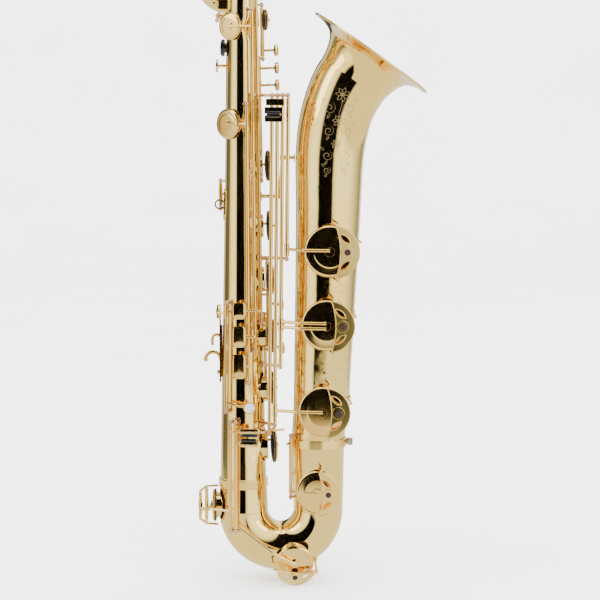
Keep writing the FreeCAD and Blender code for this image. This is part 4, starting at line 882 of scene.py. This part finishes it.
def studio_world():
    """White surroundings with the dark gap of a studio's open side, seen only in reflections."""
    world = bpy.data.worlds.new("studio")
    bpy.context.scene.world = world
    world.use_nodes = True
    tree = world.node_tree
    tree.nodes.clear()

    def add(kind):
        return tree.nodes.new("ShaderNode" + kind)

    place = add("TexCoord")
    split = add("SeparateXYZ")
    flip = add("Math")
    flip.operation = "MULTIPLY"
    flip.inputs[1].default_value = -1
    around = add("Math")
    around.operation = "ARCTAN2"
    spread = add("MapRange")
    spread.inputs["From Min"].default_value = -math.pi
    spread.inputs["From Max"].default_value = math.pi
    ramp = add("ValToRGB")
    stops = [((degrees + 180) / 360, (level, level, level * 0.99))
             for degrees, level in SURROUNDINGS]
    set_stops(ramp, stops)
    studio = add("Background")
    studio.inputs["Strength"].default_value = REFLECTED_STRENGTH
    below = add("MapRange")
    below.inputs["From Min"].default_value, below.inputs["From Max"].default_value = GROUND_EDGE
    ground = add("Mix")
    ground.data_type = "RGBA"
    ground.inputs[MIX_FIRST].default_value = GROUND_COLOUR
    plain = add("Background")
    plain.inputs["Color"].default_value = (1, 1, 1, 1)
    plain.inputs["Strength"].default_value = SURROUNDING_STRENGTH
    ray = add("LightPath")
    blend = add("MixShader")
    output = add("OutputWorld")
    for source, target in (
        (place.outputs["Generated"], split.inputs[0]),
        (split.outputs["Y"], flip.inputs[0]),
        (split.outputs["X"], around.inputs[0]),
        (flip.outputs[0], around.inputs[1]),
        (around.outputs[0], spread.inputs["Value"]),
        (spread.outputs["Result"], ramp.inputs["Fac"]),
        (split.outputs["Z"], below.inputs["Value"]),
        (below.outputs["Result"], ground.inputs[MIX_FACTOR]),
        (ramp.outputs["Color"], ground.inputs[MIX_SECOND]),
        (ground.outputs[MIX_RESULT], studio.inputs["Color"]),
        (ray.outputs["Is Glossy Ray"], blend.inputs[0]),
        (plain.outputs[0], blend.inputs[1]),
        (studio.outputs[0], blend.inputs[2]),
        (blend.outputs[0], output.inputs["Surface"]),
    ):
        tree.links.new(source, target)


studio_world()


def softbox(name, place, target, width, height, power):
    """An area light of a stated size and power, aimed at a point."""
    light = bpy.data.lights.new(name, "AREA")
    light.shape = "RECTANGLE"
    light.size = width
    light.size_y = height
    light.energy = power
    lamp = bpy.data.objects.new(name, light)
    lamp.location = place
    way = Vector(target) - Vector(place)
    lamp.rotation_euler = way.to_track_quat("-Z", "Y").to_euler()
    bpy.context.scene.collection.objects.link(lamp)


AIM = (0.06, 0, 0.05)
LENS = 115.8
CAMERA_PLACE = (0.100, -2.4, 0.155)
CAMERA_DROP = 0.275  # how far its line of sight falls on the way to the instrument
softbox("key_softbox", (-2.1, -0.9, 1.3), AIM, 0.9, 1.8, 14)
softbox("fill_softbox", (2.2, -1.4, 0.7), AIM, 0.8, 1.8, 9)
softbox("top_softbox", (0.1, -0.4, 2.4), AIM, 1.6, 1.6, 20)

camera_data = bpy.data.cameras.new("camera")
camera_data.lens = LENS
camera = bpy.data.objects.new("camera", camera_data)
camera.location = CAMERA_PLACE
camera.rotation_euler = (math.pi / 2 - math.atan2(CAMERA_DROP, -CAMERA_PLACE[1]), 0, 0)
bpy.context.scene.collection.objects.link(camera)
bpy.context.scene.camera = camera
